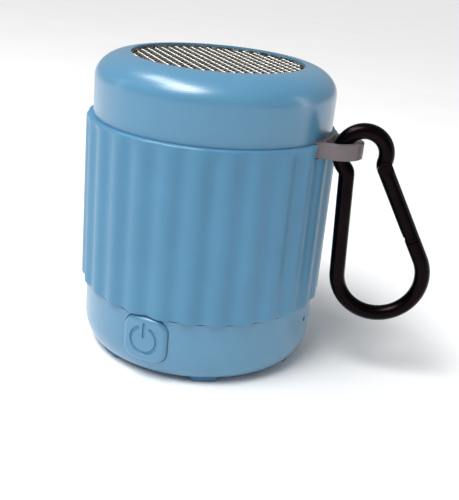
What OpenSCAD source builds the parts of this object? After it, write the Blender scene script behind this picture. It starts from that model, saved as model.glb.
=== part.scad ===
// Round splash-proof speaker with a fluted grip sleeve, a wire grille on top, a press button low on the
// front and a snap hook hanging from an eyelet on its side.
// Millimetres. The origin is the centre of the plane the feet stand on. +Z is up, +X points to the eyelet
// and -Y to the button. The charging socket is at +Y.

/* [Casing] */
// Outer radius of the base casing
base_r = 36.4; // [34:0.1:40]
// Distance by which the cap casing is smaller in radius than the base
cap_inset = 0.4; // [0:0.1:1]
// Height of the base casing's underside above the ground
base_z = 1.6; // [1:0.1:3]
// Height of the cap's top rim
top_z = 90.9; // [85:0.1:110]
// Wall of both casings
wall = 2.4; // [2:0.1:3]
// Width of the round at the casing's bottom edge
base_round_w = 4.3; // [2:0.1:6]
// Height of the round at the casing's bottom edge
base_round_h = 8.1; // [4:0.1:9]
// Width of the cap's shoulder
shoulder_w = 10.2; // [8:0.1:11]
// Height of the cap's shoulder
shoulder_h = 7.7; // [5:0.1:9]
// Height of the joint between the base and the cap casing
seam_z = 46; // [40:1:55]
// Height of the lip that centres the cap casing on the base
lip_h = 3; // [2:0.5:5]

/* [Grip sleeve] */
// Distance by which the crests of the flutes stand out from the base
sleeve_stand = 1.6; // [1:0.1:3]
// Height of the sleeve's lower edge
sleeve_z = 20.6; // [18:0.1:30]
// Height of the sleeve
sleeve_h = 51.8; // [40:0.1:54]
// Number of lobes round the sleeve
flutes = 28; // [16:2:40]
// Depth of the valleys between lobes
flute_depth = 0.85; // [0.4:0.05:1.2]
// Depth by which the casing is stepped in under the sleeve
sleeve_step = 1; // [0.8:0.1:1.4]
// Round of the sleeve's lower outer edge
sleeve_low_round = 3; // [1:0.1:4]
// Round of the sleeve's upper outer edge
sleeve_top_round = 1.9; // [1:0.1:2.4]

/* [Grille] */
// Thickness of the wire
wire_d = 0.84; // [0.6:0.02:1]
// Distance from wire to wire
wire_pitch = 1.88; // [1.5:0.01:3]
// Depth of the grille below the rim
grille_sink = 0.6; // [0.3:0.1:2]
// Wall of the hoop round the wires
hoop_wall = 0.4; // [0.3:0.1:1]
// Thickness of the splash membrane
membrane_t = 0.3; // [0.2:0.1:0.6]

/* [Power button] */
// Width and height of the button
button_w = 13.8; // [10:0.1:16]
// Corner radius of the button
button_corner = 4; // [2:0.1:5]
// Distance by which the button stands out of the base
button_raise = 1.2; // [0.8:0.1:2]
// Travel of the button
button_travel = 0.8; // [0.5:0.1:1]
// Gap round the button
button_gap = 0.3; // [0.2:0.05:0.5]

/* [Feet] */
// Number of feet
foot_count = 6; // [3:1:8]
// Length of a foot along the rim
foot_l = 9; // [6:0.5:12]
// Width of a foot
foot_w = 4.6; // [3:0.1:6]
// Radius of the circle the feet stand on
foot_ring_r = 30.6; // [26:0.1:31]
// Depth of the recess that holds a foot
foot_seat = 0.6; // [0.3:0.1:1]

/* [Eyelet] */
// Height of the eyelet's middle
loop_z = 70.8; // [66:0.1:74]
// Thickness of the eyelet
loop_t = 4.4; // [3:0.1:5]
// Half width of the eyelet
loop_half_w = 8.7; // [7:0.1:10]
// Distance by which the eyelet's root flares out on each side
loop_flare = 1.8; // [0:0.1:3]
// Thickness of the eyelet's outer bar
loop_bar = 2.6; // [2:0.1:3]
// Half width of the eyelet's hole
loop_hole_half_w = 5.5; // [4:0.1:6]
// Distance from the cap casing to the hole's inner edge
loop_hole_gap = 1; // [0.8:0.1:2]

/* [Snap hook] */
// Thickness of the hook's rod
rod_d = 4.6; // [3:0.1:6]
// Length of the hook over the rod
hook_l = 61.6; // [50:0.1:80]
// Width of the hook's wide end over the rod
hook_w = 30; // [26:0.1:36]
// Width of the hook's head over the rod
hook_head_w = 17.9; // [17:0.1:20]
// Angle by which the head's arc runs on below its middle on each side
hook_wrap = 28.9; // [10:0.1:40]
// Radius of the bend between the head and the legs
bend_round = 3; // [2.6:0.1:6]
// Distance from the head's top to the seam between gate and hook
hook_seam = 37.6; // [30:0.1:42]
// Angle at which the hook leans away from the casing at rest
hook_lean = 15.7; // [13:0.1:40]
// Angle by which the hook is turned in the eyelet
hook_turn = 20; // [0:1:24]
// Room between the hook's head and the sleeve
hook_room = 0.8; // [0.4:0.1:3]
// Thickness of the tongue that the gate turns on
tongue_t = 1.8; // [1.4:0.1:2.2]

/* [Charging port] */
// Height of the socket's middle
port_z = 12.6; // [12:0.1:14]
// Width of the port's rubber cover
cover_w = 14; // [12:0.5:18]
// Height of the port's rubber cover
cover_h = 8; // [7:0.5:9]

/* [Loudspeaker] */
// Outer radius of the loudspeaker's flange
driver_r = 26.2; // [24:0.1:26.4]
// Outer radius of the cone
cone_r = 18.8; // [15:0.1:20]
// Radius of the voice coil
coil_r = 7.3; // [6:0.1:9]
// Travel of the cone each way
cone_travel = 0.8; // [0.3:0.1:1]
// Depth of the loudspeaker from its flange to its back
driver_depth = 25; // [20:0.5:32]

/* [Electronics] */
// Height of the circuit board's upper face
board_z = 11; // [10:0.1:12]
// Thickness of the circuit board
board_t = 1.6; // [1:0.1:2]
// Radius of the circuit board
board_r = 27; // [24:0.5:28]
// Length of the battery cell
cell_l = 42; // [35:1:43]
// Width of the battery cell
cell_w = 30; // [20:1:31]
// Height of the battery cell
cell_h = 9; // [6:0.5:12]
// Height of the battery tray's upper face
tray_z = 24; // [20:0.5:30]

/* [Hidden] */

$fn = 96;
fit = 0.1;              // gap between pieces that sit in each other
overlap = 0.01;         // makes a cut run past the face it opens
shell_blue = "#6496B4";
rubber_blue = "#5F93B2";
steel = "#C9C9C6";
black_anodised = "#141113";

// Casing
cap_r = base_r - cap_inset;
sleeve_r = base_r + sleeve_stand;           // radius over the crests
core_r = base_r - sleeve_step;              // outer radius under the sleeve
bore_r = core_r - wall;                     // inner radius under the sleeve
base_bore_r = base_r - wall;                // inner radius of the base below the sleeve
ledge_z = sleeve_z - fit;                   // step that carries the sleeve
sleeve_top_z = sleeve_z + sleeve_h;
cap_ledge_z = sleeve_top_z + fit;           // step of the cap over the sleeve
floor_z = base_z + wall;
base_flat_r = base_r - base_round_w;
rim_r = cap_r - shoulder_w;                 // inner edge of the top rim
shoulder_z = top_z - shoulder_h;
lip_r = bore_r + wall / 2 - fit;            // outer radius of the centring lip

// Stack of the grille and the loudspeaker below the rim
grille_r = rim_r - fit;                     // outer radius of the hoop
grille_z = top_z - grille_sink;             // top of the upper wires
membrane_z = grille_z - 2 * wire_d - fit - membrane_t;
baffle_t = 2.7;
baffle_z = membrane_z - baffle_t;           // underside of the baffle
baffle_hole_r = rim_r - 2.6;
gasket_t = 0.6;
flange_t = 1.6;
flange_z = baffle_z - gasket_t;             // upper face of the loudspeaker's flange
seal_rod = 0.55;

// Screws
boss_r = 3.25;
boss_ring_r = bore_r - boss_r + 0.6;
boss_angles = [30, 150, 210, 330];
screw_r = 1.3;
screw_head_r = 2.4;
screw_head_h = 1.8;
well_r = 2.8;
well_z = seam_z - 10;                       // end of the deep screw wells
screw_l = 18;
board_screw_r = 1;
board_post_r = 2.8;
board_post_ring_r = 22.4;
board_post_angles = [45, 135, 225, 315];

// Hook, seen from the middle of the head's arc
rod_r = rod_d / 2;
head_r = hook_head_w / 2 - rod_r;           // middle line of the head's arc
belly_r = hook_w / 2 - rod_r;               // middle line of the wide end's arc
belly_z = (hook_head_w + hook_w) / 2 - hook_l;              // middle of the wide end's arc
bend_centre = (head_r + bend_round) * [cos(hook_wrap), -sin(hook_wrap)];
leg_slope = atan2(bend_centre[1] - belly_z, bend_centre[0])
    - acos((belly_r + bend_round) / norm(bend_centre - [0, belly_z]));
leg_start = bend_centre - bend_round * [cos(leg_slope), sin(leg_slope)];
gate_l = (leg_start[1] - hook_head_w / 2 + hook_seam) / cos(leg_slope);
seam_point = leg_start + gate_l * [sin(leg_slope), -cos(leg_slope)];
rivet_r = 0.78;
rivet_head_r = 1.3;
rivet_head_h = 0.36;
rivet_seat = 0.4;                           // depth of the pocket for the rivet's heads below the rod
rivet_play = 0.07;
latch_pin_r = 0.5;
latch_pin_rise = 1.6;                       // height of the pin above the gate's end
latch_l = 3.4;                              // length of the slot for the tongue at the gate's end
gate_gap = 0.35;
slot_t = tongue_t + 0.4;                    // slot in the gate round the tongues
gate_bore_r = 1.3;
gate_bore_l = 14;
spring_turns = 7;
spring_r = 0.95;                            // middle line of the coil
spring_wire_r = 0.2;
spring_steps = 8;                           // stations in one turn
spring_sides = 4;
spring_l = 10;

// Eyelet
head_out = 1.3;                             // middle of the hook's head seen from the eyelet's bar
head_drop = 1.1;
bar_x = sleeve_r + hook_room + (head_r + rod_r - head_out) * cos(hook_turn) * cos(hook_lean);
loop_reach = bar_x + loop_bar / 2;
loop_hole_start = cap_r + loop_hole_gap;
loop_edge = 0.9;                            // height of the step at the eyelet's edges
loop_fillet = 3;                            // reach of the root's flare past the sleeve's bore
loop_gap = 0.3;
loop_notch_in = 4;                          // takes the notch past the curve of the sleeve's bore
loop_notch_w = 2 * (loop_half_w + loop_flare + loop_gap);
tenon_w = 12;
tenon_h = 3;
loop_plate_t = 1.2;
loop_plate_w = 17;
loop_plate_h = 8;
loop_plate_x = bore_r - 3;
loop_screw_y = 4;
loop_screw_r = 0.75;

// Button and port
button_z = ledge_z - button_gap / 2 - button_w / 2 - fit;
button_out = base_r + button_raise;
button_flange = 1.2;                        // rim inside the casing that stops the button
button_edge = 1.3;
button_back_r = base_bore_r - 2.6;
button_stem_r = 1.6;
switch_x = base_r - 8.9;                    // front of the switch's case
switch_l = 5;
switch_w = 7;
switch_h = 5;
plunger_r = 1.2;
plunger_gap = 0.02;
mic_z = 15;
mic_hole_r = 0.9;
cover_floor = base_r - 1.45;                // depth of the flat recess behind the cover
cover_gap = 0.3;
socket_w = 9;
socket_h = 3.2;
socket_l = 7.3;
plug_w = socket_w - 0.4;
plug_h = socket_h - 0.2;
plug_gap = 0.75;
tether_w = 2.6;
hinge_y = -cover_w / 2 - 0.1;               // line on which the cover turns

// Loudspeaker
driver_screw_count = 4;
driver_screw_r = 0.9;
surround_w = 4.6;
surround_lip_r = cone_r + surround_w;
driver_screw_ring_r = (driver_r + surround_lip_r) / 2;
basket_r = driver_r - 2.6;
magnet_r = 17;
magnet_h = 6;
plate_t = 2;
yoke_t = 2.6;
plate_z = flange_z - driver_depth + plate_t + magnet_h + yoke_t;    // upper face of the top plate
pole_r = coil_r - 0.8;
spider_z = plate_z + 4.6;
spider_r = coil_r + 8.2;
spider_wave_h = 0.45;
cone_base_z = spider_z + 3.4;
dust_cap_out = 2.2;                         // distance from the coil to the dust cap's edge
dust_cap_h = 3;

// Electronics
tray_t = 2;
tray_wall = 1.4;
tray_rim = 3;
pad_t = 1;
lead_r = 0.5;
lead_gap = 1.2;                             // distance of each wire from the middle of its pair
board_screw_head_h = 0.8;
speaker_lead_r = (basket_r + driver_r) / 2; // where the wires meet the loudspeaker's flange

// Points along an elliptical arc
function arc_points(centre, rx, ry, from, to, steps) =
    [for (i = [0 : steps]) let (a = from + (to - from) * i / steps)
        [centre[0] + rx * cos(a), centre[1] + ry * sin(a)]];

// Turns a piece built along +X to a direction round the axis
module at_azimuth(a) { rotate([0, 0, a]) children(); }

// Rounded rectangle in the XY plane, from circles and squares only
module rounded_rect(w, h, r) {
    square([w - 2 * r, h], center = true);
    square([w, h - 2 * r], center = true);
    for (x = [-1, 1], y = [-1, 1])
        translate([x * (w / 2 - r), y * (h / 2 - r)]) circle(r);
}

// Prism along +X with a rounded rectangular section; w runs along Y and h along Z
module prism_x(x0, x1, w, h, r) {
    translate([x0, 0, 0]) rotate([90, 0, 90]) linear_extrude(x1 - x0) rounded_rect(w, h, r);
}

// Ring of a rectangular section
module ring(inner, outer, z0, z1) {
    translate([0, 0, z0]) difference() {
        cylinder(h = z1 - z0, r = outer);
        translate([0, 0, -1]) cylinder(h = z1 - z0 + 2, r = inner);
    }
}

// Screw along +Z with its head below z0 and its shank above
module screw(z0, length, shank_r, head_r, head_h) {
    translate([0, 0, z0]) {
        cylinder(h = length, r = shank_r);
        translate([0, 0, -head_h]) difference() {
            cylinder(h = head_h, r = head_r);
            translate([0, 0, -overlap]) cylinder(h = head_h / 2, r = head_r / 2, $fn = 6);
        }
    }
}

// Straight stretch of rod between two points
module rod_between(p, q, r) {
    d = q - p;
    length = norm(d);
    translate(p) rotate([0, acos(d[2] / length), atan2(d[1], d[0])]) cylinder(h = length, r = r);
}

// Rod through a list of points, with a ball at each bend
module rod_path(points, r) {
    for (i = [0 : len(points) - 2]) rod_between(points[i], points[i + 1], r);
    for (i = [1 : len(points) - 2]) translate(points[i]) sphere(r);
}

// ---- Casings ----

module base_shell() {
    outside = concat(
        [[0, base_z], [base_flat_r, base_z]],
        arc_points([base_flat_r, base_z + base_round_h], base_round_w, base_round_h, -82.5, 0, 11),
        [[base_r, ledge_z], [core_r, ledge_z], [core_r, seam_z], [lip_r, seam_z], [lip_r, seam_z + lip_h]]);
    inside = concat(
        [[bore_r, seam_z + lip_h], [bore_r, ledge_z + 1], [base_bore_r, ledge_z - 1]],
        arc_points([base_flat_r, base_z + base_round_h], base_round_w - wall, base_round_h - wall, 0, -90, 6),
        [[0, floor_z]]);
    color(shell_blue) difference() {
        union() {
            rotate_extrude() polygon(concat(outside, inside));
            intersection() {
                for (a = boss_angles) at_azimuth(a) translate([boss_ring_r, 0, floor_z - 1])
                    cylinder(h = seam_z - floor_z + 1, r = boss_r);
                cylinder(h = seam_z, r = base_flat_r + 1);
            }
            for (a = board_post_angles) at_azimuth(a) translate([board_post_ring_r, 0, floor_z - 1])
                cylinder(h = board_z - board_t - floor_z + 1, r = board_post_r);
        }
        for (a = boss_angles) at_azimuth(a) translate([boss_ring_r, 0, 0]) {
            translate([0, 0, -1]) cylinder(h = well_z + 1, r = well_r - 0.2);
            cylinder(h = seam_z + 1, r = screw_r + fit);
        }
        for (a = board_post_angles) at_azimuth(a) translate([board_post_ring_r, 0, floor_z + 1])
            cylinder(h = board_z, r = board_screw_r);
        for (i = [0 : foot_count - 1]) at_azimuth(i * 360 / foot_count)
            translate([foot_ring_r, 0, base_z - 1]) linear_extrude(1 + foot_seat) foot_outline(fit);
        button_window();
        port_cut();
        mic_hole();
    }
}

// Opening in the base's wall that the button slides in
module button_window() {
    at_azimuth(-90) translate([0, 0, button_z])
        prism_x(base_r - 8, base_r + 1, button_w + 2 * button_gap, button_w + 2 * button_gap,
            button_corner + button_gap);
}

// Hole in front of the microphone
module mic_hole() {
    translate([base_r - 5, 0, mic_z]) rotate([0, 90, 0]) cylinder(h = 6, r = mic_hole_r, $fn = 32);
}

// Recess for the cover and its tether, and slot for the plug
module port_cut() {
    at_azimuth(90) translate([0, 0, port_z]) {
        translate([0, -tether_w / 2, 0])
            prism_x(cover_floor, base_r + 1, cover_w + 2 * cover_gap + tether_w,
                cover_h + 2 * cover_gap, 1);
        prism_x(base_r - 5, base_r, plug_w + 2 * plug_gap, plug_h + 2 * plug_gap, plug_h / 2);
    }
}

module top_shell() {
    outside = concat(
        [[lip_r + fit, seam_z + fit], [core_r, seam_z + fit], [core_r, cap_ledge_z], [cap_r, cap_ledge_z]],
        arc_points([rim_r, shoulder_z], shoulder_w, shoulder_h, 0, 90, 24),
        [[rim_r, membrane_z], [baffle_hole_r, membrane_z], [baffle_hole_r, baffle_z]]);
    seal_top_z = seam_z + lip_h + 2 * seal_rod + 2 * fit;
    inside = concat(
        arc_points([driver_r + fit, shoulder_z - 1], bore_r - driver_r - fit,
            baffle_z - shoulder_z + 1, 90, 0, 6),
        [[bore_r, seal_top_z], [lip_r + fit, seal_top_z]]);
    color(shell_blue) difference() {
        union() {
            rotate_extrude() polygon(concat(outside, inside));
            intersection() {
                for (a = boss_angles) at_azimuth(a) translate([boss_ring_r, 0, seam_z + lip_h + 2])
                    cylinder(h = screw_l, r = boss_r);
                cylinder(h = top_z, r = core_r - 1);
            }
        }
        for (a = boss_angles) at_azimuth(a) translate([boss_ring_r, 0, seam_z])
            cylinder(h = screw_l, r = screw_r);
        for (i = [0 : driver_screw_count - 1]) at_azimuth(45 + i * 360 / driver_screw_count)
            translate([driver_screw_ring_r, 0, baffle_z - 1])
                cylinder(h = baffle_t + 0.5, r = driver_screw_r);
        translate([0, 0, loop_z]) prism_x(bore_r - 3, cap_r + 1, tenon_w + 2 * fit, tenon_h + 2 * fit, 1);
    }
}

module shell_seal() {
    color("#222222") translate([0, 0, seam_z + lip_h + seal_rod + fit])
        rotate_extrude() translate([(bore_r + lip_r) / 2 + 0.05, 0]) circle(seal_rod, $fn = 32);
}

module case_screws() {
    color(steel) for (a = boss_angles) at_azimuth(a) translate([boss_ring_r, 0, 0])
        screw(well_z - fit, screw_l, screw_r - 0.02, screw_head_r, screw_head_h);
}

// ---- Grip sleeve ----

// Lobed outline: each lobe is an arc that is flute_depth high between two valleys
lobe_chord = 2 * (sleeve_r - flute_depth) * sin(180 / flutes);
lobe_sag = sleeve_r - (sleeve_r - flute_depth) * cos(180 / flutes);
lobe_r = (lobe_chord * lobe_chord / 4 + lobe_sag * lobe_sag) / (2 * lobe_sag);
lobe_half = asin(lobe_chord / 2 / lobe_r);
module sleeve_outline() {
    polygon([for (i = [0 : flutes - 1], s = [0 : 7])
        let (a = 360 * (i + 0.5) / flutes, b = -lobe_half + 2 * lobe_half * s / 8)
        (sleeve_r - lobe_r) * [cos(a), sin(a)] + lobe_r * [cos(a + b), sin(a + b)]]);
}

module grip_sleeve() {
    low = sleeve_low_round;
    top = sleeve_top_round;
    color(rubber_blue) difference() {
        intersection() {
            translate([0, 0, sleeve_z]) linear_extrude(sleeve_h) sleeve_outline();
            rotate_extrude() polygon(concat(
                [[0, sleeve_z]],
                arc_points([sleeve_r - low / 2, sleeve_z + low], low / 2, low, -90, 0, 8),
                arc_points([sleeve_r - top, sleeve_top_z - top], top, top, 0, 90, 8),
                [[0, sleeve_top_z]]));
        }
        translate([0, 0, sleeve_z - 1]) cylinder(h = sleeve_h + 2, r = core_r + fit);
        // notch round the eyelet, open to the top
        translate([core_r - loop_notch_in, -loop_notch_w / 2, loop_z - loop_t / 2 - loop_gap])
            cube([loop_notch_in + 10, loop_notch_w, sleeve_h]);
    }
}

// ---- Feet ----

module foot_outline(grow) {
    square([foot_w + 2 * grow, foot_l - foot_w], center = true);
    for (y = [-1, 1]) translate([0, y * (foot_l - foot_w) / 2]) circle(foot_w / 2 + grow);
}

// A pad with chamfered lower edges and round ends
module foot() {
    chamfer = 0.7;
    foot_h = base_z + foot_seat;
    half = (foot_l - foot_w) / 2;
    for (y = [-half, half]) translate([0, y, 0]) {
        cylinder(h = chamfer, r1 = foot_w / 2 - chamfer, r2 = foot_w / 2);
        translate([0, 0, chamfer]) cylinder(h = foot_h - chamfer, r = foot_w / 2);
    }
    translate([0, half, 0]) rotate([90, 0, 0]) linear_extrude(2 * half) polygon([
        [-foot_w / 2 + chamfer, 0], [foot_w / 2 - chamfer, 0], [foot_w / 2, chamfer],
        [foot_w / 2, foot_h], [-foot_w / 2, foot_h], [-foot_w / 2, chamfer]]);
}

module feet() {
    color(rubber_blue) for (i = [0 : foot_count - 1]) at_azimuth(i * 360 / foot_count)
        translate([foot_ring_r, 0, 0]) foot();
}

// ---- Grille ----

// Parallel round wires that end on the hoop
module wire_layer(z) {
    inner = grille_r - hoop_wall - 0.02;
    rows = floor((inner - wire_d) / wire_pitch);
    for (i = [-rows : rows]) {
        x = i * wire_pitch;
        half = sqrt(inner * inner - pow(abs(x) + wire_d / 2, 2));
        translate([x, half, z]) rotate([90, 0, 0]) cylinder(h = 2 * half, r = wire_d / 2, $fn = 16);
    }
}

module grille_wires() {
    color(steel) {
        wire_layer(grille_z - wire_d * 1.5);
        rotate([0, 0, 90]) wire_layer(grille_z - wire_d / 2);
    }
}

module grille_hoop() {
    color(steel) ring(grille_r - hoop_wall, grille_r, membrane_z + membrane_t, grille_z);
}

module splash_membrane() {
    color("#101010") translate([0, 0, membrane_z]) cylinder(h = membrane_t, r = rim_r - fit);
}

// ---- Eyelet ----

// Eyelet seen from above, with its edge drawn in by inset
module loop_outline(inset) {
    end_x = loop_reach - loop_half_w;
    hole_x = loop_reach - loop_bar - loop_hole_half_w;
    root_x = cap_r - 2;
    difference() {
        union() {
            translate([end_x, 0]) circle(loop_half_w - inset);
            translate([root_x, -loop_half_w + inset]) square([end_x - root_x, 2 * (loop_half_w - inset)]);
            for (side = [-1, 1]) polygon(concat(
                [[root_x, 0], [root_x, side * (loop_half_w + loop_flare - inset)]],
                [for (p = arc_points([cap_r + loop_fillet, loop_half_w + loop_flare], loop_fillet,
                    loop_flare, 180, 270, 6)) [p[0] - inset, side * (p[1] - inset)]],
                [[cap_r + loop_fillet, 0]]));
        }
        intersection() {
            translate([hole_x, 0]) circle(loop_hole_half_w + inset);
            translate([loop_hole_start - inset, -20]) square([20, 40]);
        }
    }
}

module carabiner_loop() {
    color("#7C7276") translate([0, 0, loop_z]) {
        difference() {
            union() {
                linear_extrude(loop_t - 2 * loop_edge, center = true) loop_outline(0);
                linear_extrude(loop_t, center = true) loop_outline(loop_edge / 2);
            }
            cylinder(h = loop_t + 2, r = cap_r + fit, center = true);
        }
        difference() {
            prism_x(loop_plate_x + loop_plate_t + fit, loop_hole_start, tenon_w, tenon_h, 0.9);
            loop_screw_holes(loop_screw_r);
        }
    }
}

module loop_screw_holes(r) {
    for (y = [-1, 1]) translate([0, y * loop_screw_y, 0]) rotate([0, 90, 0])
        cylinder(h = cap_r, r = r, $fn = 32);
}

module loop_plate() {
    color(steel) translate([0, 0, loop_z]) difference() {
        prism_x(loop_plate_x, loop_plate_x + loop_plate_t, loop_plate_w, loop_plate_h, 1.5);
        loop_screw_holes(loop_screw_r + fit);
    }
}

module loop_screws() {
    color(steel) for (y = [-1, 1]) translate([0, y * loop_screw_y, loop_z]) rotate([0, 90, 0])
        screw(loop_plate_x - 0.02, cap_r - loop_plate_x - 0.2, loop_screw_r - 0.01, 1.5, 1.1);
}

// ---- Loudspeaker ----

module driver_basket() {
    color("#2B2B2B") difference() {
        rotate_extrude() polygon([
            [cone_r + 2.2, flange_z], [driver_r, flange_z], [driver_r, flange_z - flange_t],
            [basket_r, flange_z - flange_t], [spider_r + 1.2, spider_z - 0.6],
            [magnet_r - 0.5, plate_z + 0.02], [pole_r + 4, plate_z + 0.02], [pole_r + 4, plate_z + 1.2],
            [magnet_r - 3, plate_z + 1.2], [spider_r - 1.4, spider_z - 0.6],
            [spider_r - 1.4, spider_z], [spider_r, spider_z + 0.6], [basket_r - 1.4, flange_z - flange_t]]);
        for (i = [0 : 5]) at_azimuth(30 + 60 * i)
            translate([0, 0, spider_z + 1]) prism_x(10, 30, 10, 1, 0.2);
        for (i = [0 : 5]) at_azimuth(i * 60) translate([spider_r + 4, 0, (spider_z + flange_z) / 2])
            cube([12, 11, flange_z - flange_t - spider_z - 2.4], center = true);
        for (i = [0 : driver_screw_count - 1]) at_azimuth(45 + i * 360 / driver_screw_count)
            translate([driver_screw_ring_r, 0, flange_z - flange_t - 1])
                cylinder(h = 4, r = driver_screw_r + fit);
    }
}

module driver_gasket() {
    color("#333333") difference() {
        ring(surround_lip_r + fit, driver_r, flange_z + 0.02, baffle_z - 0.02);
        for (i = [0 : driver_screw_count - 1]) at_azimuth(45 + i * 360 / driver_screw_count)
            translate([driver_screw_ring_r, 0, flange_z - 1]) cylinder(h = 3, r = driver_screw_r + fit);
    }
}

module driver_screws() {
    color(steel) for (i = [0 : driver_screw_count - 1]) at_azimuth(45 + i * 360 / driver_screw_count)
        translate([driver_screw_ring_r, 0, 0])
            screw(flange_z - flange_t - 0.02, flange_t + gasket_t + 2, driver_screw_r - 0.02, 1.3, 1);
}

module driver_magnet() {
    color("#3A3A3C") ring(coil_r + 2, magnet_r, plate_z - plate_t - magnet_h, plate_z - plate_t - 0.02);
}

module driver_top_plate() {
    color(steel) ring(coil_r + 0.5, magnet_r - 0.5, plate_z - plate_t, plate_z);
}

module driver_yoke() {
    color(steel) {
        translate([0, 0, plate_z - plate_t - magnet_h - yoke_t - 0.02])
            cylinder(h = yoke_t, r = magnet_r - 0.5);
        translate([0, 0, plate_z - plate_t - magnet_h - 1]) cylinder(h = plate_t + magnet_h + 1, r = pole_r);
    }
}

// Half roll between the cone and the flange, with a flat lip on each side
module driver_surround() {
    skin = 0.45;
    middle = (cone_r + surround_lip_r - 1) / 2;
    roll = (surround_lip_r - 1 - cone_r) / 2;
    z = flange_z + 0.02;
    color("#181818") rotate_extrude() polygon(concat(
        [[cone_r - 1.4, z + skin], [cone_r - 1.4, z], [middle - roll + skin, z]],
        arc_points([middle, z], roll - skin, roll - skin, 180, 0, 10),
        [[surround_lip_r, z], [surround_lip_r, z + skin]],
        arc_points([middle, z], roll, roll, 15, 165, 12)));
}

module driver_spider() {
    waves = 3;
    inner = coil_r + 0.02;
    steps = waves * 8;
    top = [for (i = [0 : steps]) [inner + (spider_r - inner) * i / steps,
        spider_z + 1.3 + spider_wave_h * sin(360 * waves * i / steps)]];
    color("#B49A55") rotate_extrude()
        polygon(concat(top, [for (i = [steps : -1 : 0]) top[i] - [0, 0.35]]));
}

module driver_cone() {
    skin = 0.5;
    color("#1D1D1F") rotate_extrude() polygon([
        [cone_r, flange_z], [coil_r + 0.02, cone_base_z], [coil_r + 0.02, cone_base_z - skin],
        [cone_r, flange_z - skin]]);
}

module driver_dust_cap() {
    cap_w = coil_r + dust_cap_out;
    z = cone_base_z + dust_cap_out * (flange_z - cone_base_z) / (cone_r - coil_r);
    color("#262628") rotate_extrude() polygon(concat(
        arc_points([0, z], cap_w, dust_cap_h, 0, 90, 10),
        arc_points([0, z], cap_w - 0.5, dust_cap_h - 0.4, 90, 0, 10)));
}

module driver_coil() {
    color("#B87333") ring(coil_r - 0.5, coil_r, plate_z - plate_t - 1, cone_base_z);
}

// ---- Electronics ----

module main_board() {
    color("#1F5B3A") difference() {
        translate([0, 0, board_z - board_t + 0.02]) cylinder(h = board_t - 0.04, r = board_r);
        for (a = board_post_angles) at_azimuth(a) translate([board_post_ring_r, 0, 0])
            cylinder(h = board_z + 1, r = board_screw_r + fit);
        for (a = boss_angles) at_azimuth(a) translate([boss_ring_r, 0, 0])
            cylinder(h = board_z + 1, r = boss_r + fit);
    }
}

module battery_tray() {
    tray_w = 2 * tray_wall + 1;
    color("#2C2F33") difference() {
        union() {
            translate([0, 0, tray_z - tray_t]) linear_extrude(tray_t)
                rounded_rect(cell_l + tray_w, cell_w + tray_w, 3);
            translate([0, 0, tray_z - overlap]) linear_extrude(tray_rim) difference() {
                rounded_rect(cell_l + tray_w, cell_w + tray_w, 3);
                square([cell_l + 0.6, cell_w + 0.6], center = true);
            }
            for (a = board_post_angles) at_azimuth(a) translate([board_post_ring_r, 0, board_z])
                cylinder(h = tray_z - board_z, r = board_post_r);
        }
        for (a = board_post_angles) at_azimuth(a) translate([board_post_ring_r, 0, board_z - 1]) {
            cylinder(h = 40, r = board_screw_r + fit);
            translate([0, 0, tray_z - board_z + 1 - overlap]) cylinder(h = 10, r = 2.3);
        }
    }
}

module board_screws() {
    color(steel) for (a = board_post_angles) at_azimuth(a)
        translate([board_post_ring_r, 0, 2 * tray_z + 0.02]) mirror([0, 0, 1])
            screw(tray_z, tray_z - floor_z - 1.2, board_screw_r - 0.02, 1.9, board_screw_head_h);
}

module battery_pad() {
    color("#4A4A4A") translate([0, 0, tray_z + 0.02]) linear_extrude(pad_t - 0.04)
        square([cell_l - 6, cell_w - 6], center = true);
}

module battery_cell() {
    color("#9FA3A8") translate([0, 0, tray_z + pad_t]) linear_extrude(cell_h)
        rounded_rect(cell_l, cell_w, 2);
}

module battery_lead() {
    out_x = cell_l / 2 + tray_wall + 2.2;
    solder_x = cell_l / 2 - 1;
    top = tray_z + pad_t + cell_h + lead_r;
    low = board_z + 3;
    color("#B02020") for (y = [-lead_gap, lead_gap]) rod_path([
        [solder_x, y, top], [out_x, y, top], [out_x, y, low], [solder_x, y, low],
        [solder_x, y, board_z + 0.02]], lead_r, $fn = 16);
}

module speaker_lead() {
    color("#202020") for (y = [-lead_gap, lead_gap]) rod_path([
        [-speaker_lead_r, y, board_z + 0.02], [-speaker_lead_r, y, flange_z - flange_t - 0.02]],
        lead_r, $fn = 16);
}

module usb_socket() {
    color(steel) at_azimuth(90) translate([0, 0, port_z]) difference() {
        prism_x(base_bore_r - 1.3 - socket_l, base_bore_r - 1.3, socket_w, socket_h, 1.4);
        prism_x(base_bore_r - 0.3 - socket_l, base_bore_r, socket_w - 0.7, socket_h - 0.7, 1.1);
    }
}

module amplifier_chip() {
    color("#151515") translate([0, 4, board_z + 0.02]) linear_extrude(1) square([8, 8], center = true);
}

module microphone() {
    color(steel) translate([base_bore_r - 2, 0, mic_z]) rotate([0, 90, 0]) difference() {
        cylinder(h = 1.8, r = 2, $fn = 48);
        translate([0, 0, 1.2]) cylinder(h = 1, r = 1, $fn = 32);
    }
}

// ---- Power button ----

module power_switch() {
    color("#161616") at_azimuth(-90) difference() {
        translate([switch_x - switch_l, -switch_w / 2, board_z + 0.02]) cube([switch_l, switch_w, switch_h]);
        translate([switch_x - 2.4, 0, button_z]) rotate([0, 90, 0]) cylinder(h = 5, r = plunger_r + 0.1);
    }
}

module switch_plunger() {
    color("#D8D8D8") at_azimuth(-90) translate([switch_x - 1.4, 0, button_z]) rotate([0, 90, 0])
        cylinder(h = 2.4, r = plunger_r);
}

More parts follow.
